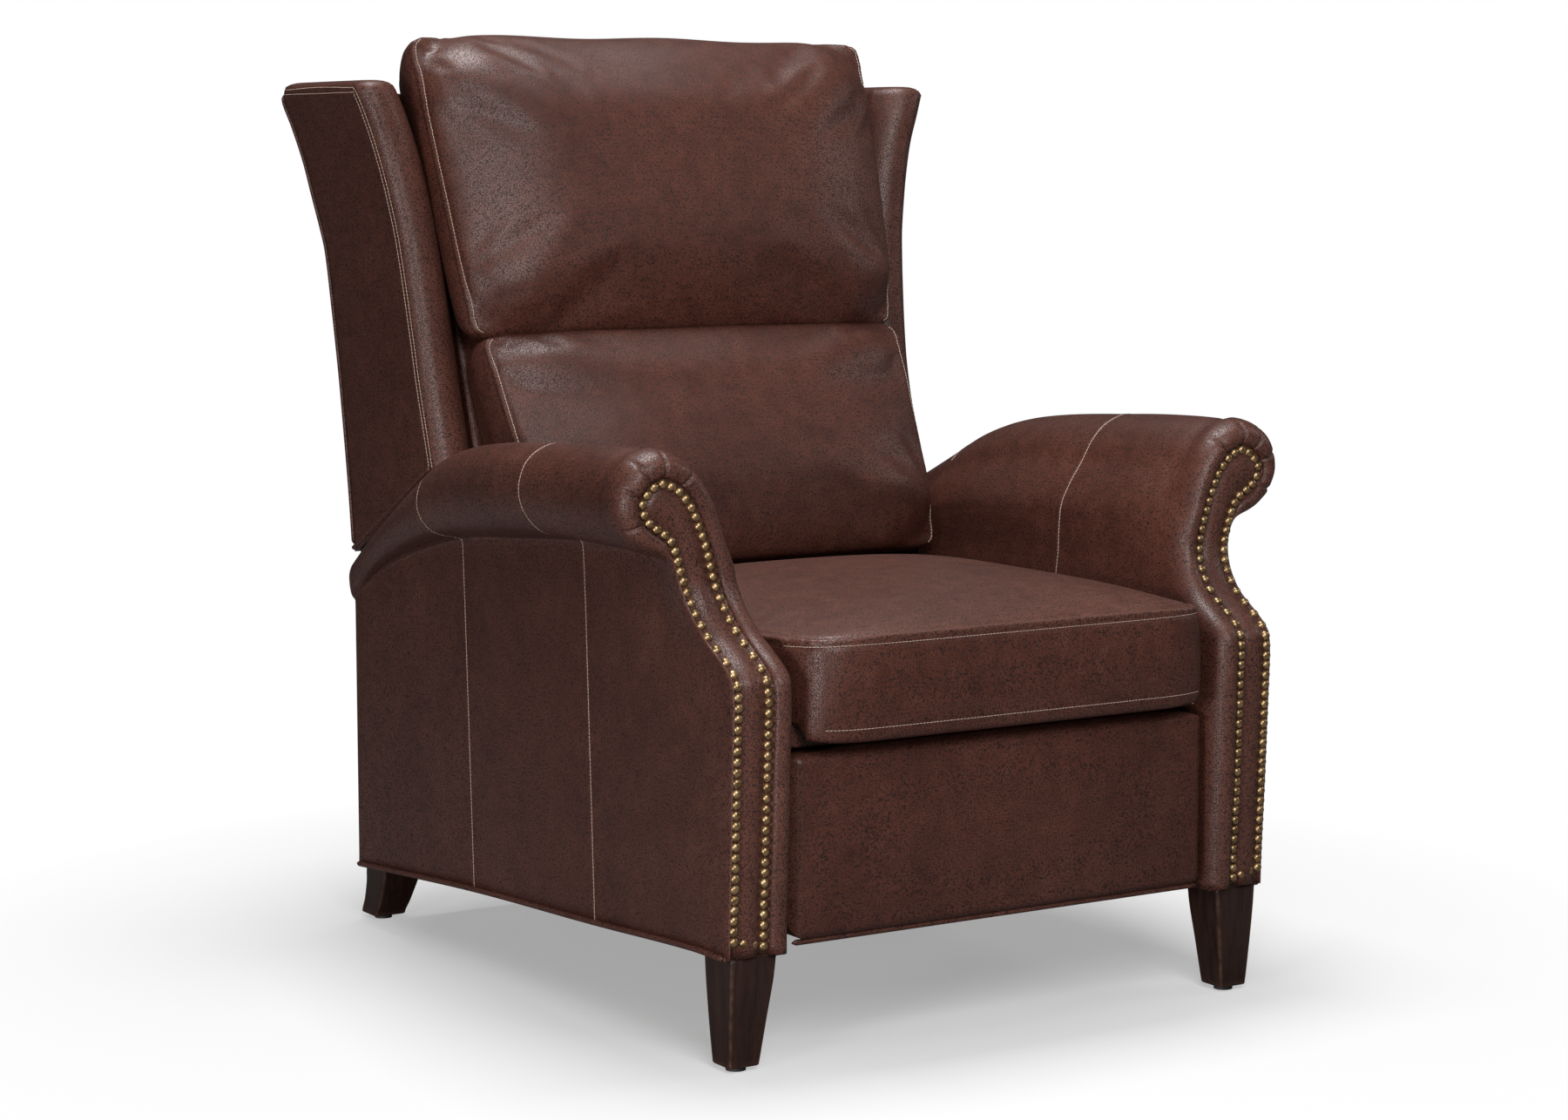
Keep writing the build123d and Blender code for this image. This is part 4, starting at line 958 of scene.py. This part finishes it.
frameSkin = {"low": 343.5, "high": 370.2, "lift": 1.6, "corner": 3, "thick": 1.2}
low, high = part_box("seat_frame")
x, z = np.linspace(-1, 1, 80), np.linspace(frameSkin["low"], frameSkin["high"], 10)[:, None]
d = 1000 * low.y + chair["centre"] - frameSkin["lift"] + frameSkin["corner"] * np.abs(x) ** 40
skin = gridMesh("seatFrameSkin", place(1000 * high.x * x, d, z), merge=False, flip=True)
wall(skin, frameSkin["thick"])
dress(skin, hide, "seat", wear=0)
print("seat cushion sewn")


# Footrest panel

foot = {"half": 281, "low": 133, "high": 340, "face": 1.0, "crown": 7, "depth": 47.7, "edge": 13,
        "rim": (13.0, 5.5), "board": 29.8, "welt": 3.2, "weltHalf": 277}


def footPillow():
    # oblong loop in the upright plane, face crowned forward, edges rounded back
    # and drawn round the sides of the board to a rim that it sits in
    loop = roundedLoop(320, 14)
    w, a = loop[:, 0], loop[:, 1]
    share, b = loopRows(39, 8, 9, rim=2, power=0.8)
    row = np.arange(len(b))[:, None]
    rim, sunk = row >= 47, row >= 48
    mid, tall = (foot["low"] + foot["high"]) / 2, (foot["high"] - foot["low"]) / 2
    edgeAway = np.minimum((1 - np.abs(w * share)) * foot["half"], (1 - np.abs(a * share)) * tall)
    roundOff = foot["edge"] * np.maximum(1 - edgeAway / foot["edge"], 0) ** 2.2
    dome = foot["crown"] * (1 - np.abs(w * share) ** 4) * (1 - np.abs(a * share) ** 3)
    side = between(foot["face"] + foot["edge"], foot["depth"], b)
    D = np.where(b <= 0, foot["face"] + roundOff - dome, side)
    D = np.where(sunk, foot["board"], D)
    wide, high = foot["half"] - foot["rim"][0] * rim, tall - foot["rim"][1] * rim
    return loftClosed("footPad", place(w * share * wide, D, mid + a * share * high))


footPad = footPillow()
n = normalsOf(footPad)[:, 1]
rubbedAndLit = 0.2 * smoothStep(0.97, 0.75, np.abs(n)) * (n < 0)
dress(footPad, hide, "footrest", ["footrest_pad"], rubbedAndLit)
x = np.linspace(-foot["weltHalf"], foot["weltHalf"], 120)
weltOn("footWelt", place(x, 9, foot["low"] + 1), foot["welt"], "footrest", 0.2)
print("footrest made")


# Wings

wing = {
    # height, x, depth of the front and rear edges
    "front": [(430, 354, 652), (595, 356, 693), (693, 358, 720), (745, 360, 730), (812, 364, 741),
              (838, 366, 745), (871, 369, 750), (910, 375, 755), (947, 382, 760), (988, 392, 765),
              (1027, 405, 768), (1051, 414, 772), (1075, 424, 776)],
    "rear": [(430, 356, 920), (468, 356, 924), (553, 358, 930), (695, 361, 947), (778, 365, 956),
             (852, 371, 961), (882, 376, 965), (921, 384, 970), (964, 392, 977), (1008, 402, 988),
             (1036, 411, 993), (1048, 414, 989), (1075, 418, 984)],
    # inset and rise of the loops over the top
    "cap": [(2.5, 5.0), (7, 8.5), (13, 10.4), (20, 11.0), (27, 11.2)],
    "top": 1051, "lowD": 924, "lowZ": 468, "slope": 0.543, "thick": 64, "inner": 292.6, "skin": 8.5,
    "seamIn": 5, "nose": 18, "noseShare": 0.3, "fall": 34}


def wingLoop(z):
    # plan section at each height, from the rear outer corner forward,
    # round the padded front strip (a quarter round, then a slow fall) and back inside
    f, r = curve(wing["front"], z), curve(wing["rear"], z)
    xf, df, xr, dr = f[..., 0], f[..., 1], r[..., 0], r[..., 1] - wing["skin"]
    xi = np.maximum(wing["inner"], xf - wing["thick"])
    edge, share = df + wing["seamIn"], wing["noseShare"]
    t = np.linspace(0, 1, 40)
    u = (1 - np.cos(np.linspace(0, 1, 30)[1:] * pi)) / 2
    lead = 1 - np.clip(u / share, 0, 1)
    frontD = edge - wing["nose"] * np.sqrt(1 - lead**2)
    frontD = frontD + wing["fall"] * np.clip((u - share) / (1 - share), 0, 1) ** 2.6
    q = np.linspace(0, 1, 24)[1:]
    c = np.linspace(0, 1, 8)[1:-1]
    return (np.concatenate([between(xr, xf, t) + 2.2 * np.sin(pi * t), between(xf, xi, u), xi + 0 * q,
                            between(xi, xr, c)], -1),
            np.concatenate([between(dr, edge, t), frontD, between(df + 21, dr, q), dr + 0 * c], -1))


def wingColumns(z):
    # the plan section's columns, each taken at its own height
    x, d = np.empty_like(z), np.empty_like(z)
    for row, heights in enumerate(z):
        xs, ds = wingLoop(heights[:, None])
        x[row], d[row] = np.diagonal(xs), np.diagonal(ds)
    return x, d


def lowEdge(d):
    return wing["lowZ"] + (wing["lowD"] - d) * wing["slope"]


def wingPad(side):
    # columns stand on the sloping lower edge, found in a few steps, and end in loops drawn in over the top
    d = wingLoop(np.full((1, 1), 560.0))[1]
    for _ in range(3):
        low = lowEdge(d)
        d = wingColumns(low)[1]
    z = between(low, wing["top"], np.linspace(0, 1, 90)[:, None])
    x, d = wingColumns(z)
    rows = [np.stack([x, d, z], -1)]
    lastX, lastD = x[-1:], d[-1:]
    midX, halfX = (lastX.max() + lastX.min()) / 2, (lastX.max() - lastX.min()) / 2
    midD, halfD = (lastD.max() + lastD.min()) / 2, (lastD.max() - lastD.min()) / 2
    for inset, rise in wing["cap"]:
        xs, ds = midX + (lastX - midX) * (1 - inset / halfX), midD + (lastD - midD) * (1 - inset / halfD)
        rows.append(np.stack([xs, ds, np.full_like(xs, wing["top"] + rise)], -1))
    return loftClosed("wingPad" + side.capitalize(), placed(np.concatenate(rows), sides[side]))


# two stitch lines, each with its shift from the seam along the front and along the top
wingStitch = {"pitch": 4.2, "length": 4.3, "radius": 0.5,
              "shifts": [((0.2, 4.0, 0), (0.2, 0, -4.0)), ((-3.6, -3.5, 0), (-3.6, 0, 1.5))]}
wingSeam = {"low": 598, "high": 1049, "frontCount": 240, "rearD": 978, "topCount": 130}
for side, k in sides.items():
    obj = wingPad(side)
    co, N = coordinates(obj), normalsOf(obj)
    z = np.linspace(wingSeam["low"], wingSeam["high"], wingSeam["frontCount"])
    f = curve(wing["front"], z)
    frontEdge = np.stack([f[:, 0] + 0.5, f[:, 1] + wing["seamIn"], z], -1)
    rearX = curve(wing["rear"], wing["top"] - 1)[0]
    rearTop = (rearX, wingSeam["rearD"], wing["top"])
    topEdge = np.linspace((*frontEdge[-1, :2], wing["top"]), rearTop, wingSeam["topCount"])
    seam = np.concatenate([frontEdge, topEdge[2:]])
    away = nearest(co, evenly(placed(seam, k), 0.002)) * 1000
    reshape(obj, co + N * (0.001 * (-2.0 * bump(away, 2.2) + 0.6 * bump(away - 5, 3)))[:, None])
    # paler along the seam, and a painted highlight in a band down the padded front strip
    strip = np.abs(co[:, 1] * 1000 + chair["centre"] - curve(wing["front"], co[:, 2] * 1000)[:, 1] + 6)
    dress(obj, hide, "back", [f"wing_{side}"], 0.25 * bump(away, 6) + 0.28 * bump(strip, 12))
    for i, (onFront, onTop) in enumerate(wingStitch["shifts"]):
        shift = np.concatenate([np.tile(onFront, (len(frontEdge), 1)), np.tile(onTop, (len(topEdge) - 2, 1))])
        mid, up = onSurface(obj, placed(seam + shift, k))
        line = evenly(mid + up * 0.0004, 0.003)
        sew(f"wingStitch{i + 1}{side.capitalize()}", line, (k, -0.4, 0.2), wingStitch, "back")
    d = np.linspace(700, 918, 120)
    z = lowEdge(d) + 5
    f, r = curve(wing["front"], z), curve(wing["rear"], z)
    x = between(f[:, 0], r[:, 0], np.clip((d - f[:, 1]) / (r[:, 1] - f[:, 1]), 0, 1))
    weltOn("wingWelt" + side.capitalize(), place(x + 1.0, d, z, k), 3.0, "back", 0.2)
print("wings made")


# Outside back, its top cover, the tail behind the seat and the apron

back = {"skirtZ": 362, "skirtHalf": 348.0, "skirtD": 922.0, "wingZ": 478, "high": 1047, "crown": 2.4,
        "skin": 7.5}


def outsideBack():
    # rows up the back between the wings' rear edges, crowned a little to the rear,
    # in two skins closed at the rim
    low, bend, high = back["skirtZ"], back["wingZ"], back["high"]
    z = np.concatenate([np.linspace(low, bend - 2, 16), np.linspace(bend + 2, high, 70)])[:, None]
    t = np.linspace(-1, 1, 61)
    r = curve(wing["rear"], np.maximum(z, bend))
    half = np.where(z < bend, back["skirtHalf"], r[..., 0] - 0.5)
    d = np.where(z < bend, back["skirtD"], r[..., 1]) - 5 * np.maximum(np.abs(t) - 0.985, 0) / 0.015
    crown = back["crown"] * (1 - t**4) * np.sin(pi * np.clip((z - low) / 690, 0, 1))
    outer = place(half * t, d + crown - 1.5, z)
    inner = place(half * t, d - back["skin"] + 0.5, z)[:, ::-1]
    obj = gridMesh("outsideBack", np.concatenate([outer, inner], 1), wrap=True)
    closeUp(obj.data, rim=400)
    return obj


dress(outsideBack(), hide, "back", ["outside_back"], wear=0)
for side, k in sides.items():
    z = np.linspace(482, 1046, 150)
    r = curve(wing["rear"], z)
    path = place(r[:, 0] - 1.5, r[:, 1] - 4.5, z, k)
    weltOn("backWelt" + side.capitalize(), path, 3.0, "back", 0.2, (0.0, 1.0, 0.0))


def padBlock(name, node):
    # rounded block in a solid's place: loops of a superellipse in plan, drawn in at top and bottom
    low, high = [layout(np.array(corner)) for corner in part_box(node)]
    mid, half = (low + high) / 2, (high - low) / 2
    loop = roundedLoop(160, 10)
    u = np.linspace(-1, 1, 25)[:, None]
    draw = 1 - 0.5 * np.minimum(half[:2].min(), half[2]) * (np.abs(u) ** 7) / half[:2][None]
    x, d = mid[0] + half[0] * loop[:, 0] * draw[:, :1], mid[1] + half[1] * loop[:, 1] * draw[:, 1:2]
    return loftClosed(name, place(x, d, mid[2] + half[2] * u))


for name, node, body in (("backTopCover", "back_cover", "back"), ("rearApron", "rear_apron", "base")):
    dress(padBlock(name, node), hide, body, [node], wear=0)

# the tail's section, up and forward of the raked back, drawn in a little at its ends
tail = {"section": [(-15, 0.5), (20, 0.5), (54, 0.5), (54, 20), (54, 40), (47, 68), (38, 93), (16, 80),
                    (-5, 60), (-12, 50), (-15, 40), (-15, 20)], "middle": (20, 40), "half": 280}
knots = np.array([(i, *p) for i, p in enumerate(tail["section"] + tail["section"][:1])], float)
ring = curve(knots, np.linspace(0, len(tail["section"]), 72, endpoint=False))
w = np.linspace(-1, 1, 60)[:, None]
a, f = [m + (ring[:, i] - m) * (1 - 0.12 * np.abs(w) ** 14) for i, m in enumerate(tail["middle"])]
dress(loftClosed("backTail", onBack(tail["half"] * w, a, f)), hide, "back", ["back_tail"], 0)
print("back closed")


# Legs

legs = {  # height, width, depth and x of the middle
    "front": [(6, 37, 28.5, 336), (20, 39.8, 28.5, 335.4), (60, 47, 28.5, 333.5), (100, 54, 28.5, 331),
              (126.6, 57, 28.5, 330)],
    "rear": [(6, 42, 900, 330.7), (12, 42.5, 898, 330.2), (24, 44.5, 892, 328.7), (48, 49, 883, 326.7),
             (62, 52.5, 879.5, 325.5), (75.7, 54, 878, 324.7)],
    "round": 2.6, "bevel": 0.8}


def leg(name, rows, k):
    # rounded squares carried down the leg's centre line, bevelled at top and foot
    table = np.array(rows)
    foot, top = table[0, 0], table[-1, 0]
    z = np.concatenate([[top], np.linspace(top - legs["bevel"], foot + 1.2, 40), [foot]])[:, None]
    wide, d, x = np.moveaxis(curve(table, z), -1, 0)
    half = wide / 2 - np.where((z == top) | (z == foot), legs["bevel"], 0.0)
    a = np.linspace(0, 2 * pi, 96, endpoint=False) + pi / 96
    square = np.stack([np.cos(a), np.sin(a)]) / np.maximum(np.abs(np.cos(a)), np.abs(np.sin(a)))
    r = legs["round"]
    ix, iy = [np.clip(q * half, r - half, half - r) for q in square]
    dx, dy = square[0] * half - ix, square[1] * half - iy
    length = np.maximum(np.hypot(dx, dy), 1e-9)
    keep = np.minimum(length, r) / length
    obj = loftClosed(name, place(x + ix + dx * keep, d + iy + dy * keep, z, k))
    px, pd, pz = layout(coordinates(obj)).T
    wide, d, x = [np.interp(pz, table[:, 0], table[:, i]) for i in (1, 2, 3)]
    edge = np.abs(np.abs(px - k * x) - wide / 2) + np.abs(np.abs(pd - d) - wide / 2)
    return obj, bump(edge, 2.2) * 0.9 + 0.4 * bump(pz - foot, 5)


for side, k in sides.items():
    for end in ("front", "rear"):
        obj, wear = leg(f"{end}Leg{side.capitalize()}", legs[end], k)
        dress(obj, legWood, "base", [f"{end}_leg_{side}"], wear=wear)
print("legs turned")


# CAD pieces that stay

nodeFinish = {"frame_wood": frameWood, "brass": brass, "glide": glidePlastic, "bright_steel": brightSteel,
              "mechanism_steel": enamel, "leather": hidePlain, "dark_wood": legWood}
slotOf = {p["node"]: p["material_slot"] for p in frame["record"]["subparts"]}
for name, node in frame["nodes"].items():
    node.data.materials.clear()
    node.data.materials.append(nodeFinish[slotOf[name]])


# Floor, light and camera

stage = {"floor": 9.0, "fadeFrom": 0.45, "fadeTo": 1.15, "pale": 0.34, "seen": (0.62, 0.62, 0.62, 1),
         "unseen": (0.2, 0.2, 0.2, 1), "white": (1, 1, 1, 1), "world": 0.07, "shine": 0.02}
bpy.ops.mesh.primitive_grid_add(x_subdivisions=40, y_subdivisions=40, size=stage["floor"] * 2)
floor = bpy.context.object
floor.name = "floor"
s = newFinish("paleFloor")
far = s.node("ShaderNodeVectorMath", {"operation": "LENGTH"}, {0: s.at()}, 1)
far = far.clamp(stage["fadeFrom"], stage["fadeTo"])
seen = s.node("ShaderNodeLightPath", out="Is Camera Ray")
plain = s.node("ShaderNodeBsdfDiffuse", None, {"Color": s.mix(seen, stage["unseen"], stage["seen"])})
glow = s.node("ShaderNodeEmission", None, {"Color": stage["white"], "Strength": 1.0})
fade = (stage["pale"] + (1 - stage["pale"]) * far) * seen
both = s.node("ShaderNodeMixShader", None, {0: fade, 1: plain, 2: glow})
s.node("ShaderNodeOutputMaterial", None, {"Surface": both})
floor.data.materials.append(s.owner)
floor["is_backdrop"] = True

world = bpy.data.worlds.new("studio")
bpy.context.scene.world = world
s = Sheet(world)
glossy, clear, camera = [s.node("ShaderNodeLightPath", out=f"Is {kind} Ray")
                         for kind in ("Glossy", "Transmission", "Camera")]
lamp, white = [s.node("ShaderNodeBackground", None, {"Color": stage["white"], "Strength": strength})
               for strength in (stage["world"], 1.0)]
both = s.node("ShaderNodeMixShader", None, {0: stage["shine"] * glossy + (clear + camera), 1: lamp, 2: white})
s.node("ShaderNodeOutputWorld", None, {"Surface": both})

# place, size and power of each lamp
lamps = {"key": ((-1.05, -3.0, 2.4), 1.7, 106), "top": ((0.0, 0.35, 3.8), 1.4, 140),
         "left": ((-3.3, -1.8, 0.55), 0.8, 66), "right": ((3.3, -1.3, 2.2), 1.0, 16)}
for name, (spot, size, power) in lamps.items():
    light = bpy.data.lights.new(name, "AREA")
    light.size, light.energy = size, power
    lampObj = bpy.data.objects.new(name, light)
    bpy.context.scene.collection.objects.link(lampObj)
    lampObj.location = spot
    lampObj.rotation_euler = (Vector((0, 0, 0.55)) - Vector(spot)).to_track_quat("-Z", "Y").to_euler()

eye = {"at": (-2.2034, -3.4901, 0.9699), "turn": (radians(83.2604), 0, radians(-32.4247)), "lens": 78.40}
cam = bpy.data.objects.new("camera", bpy.data.cameras.new("camera"))
bpy.context.scene.collection.objects.link(cam)
cam.location, cam.rotation_euler = eye["at"], eye["turn"]
cam.data.lens, cam.data.sensor_width = eye["lens"], 36.0
bpy.context.scene.camera = cam
bpy.context.scene.view_settings.view_transform = "Standard"

low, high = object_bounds()
print("size", [round(v, 4) for v in (*low, *high)])
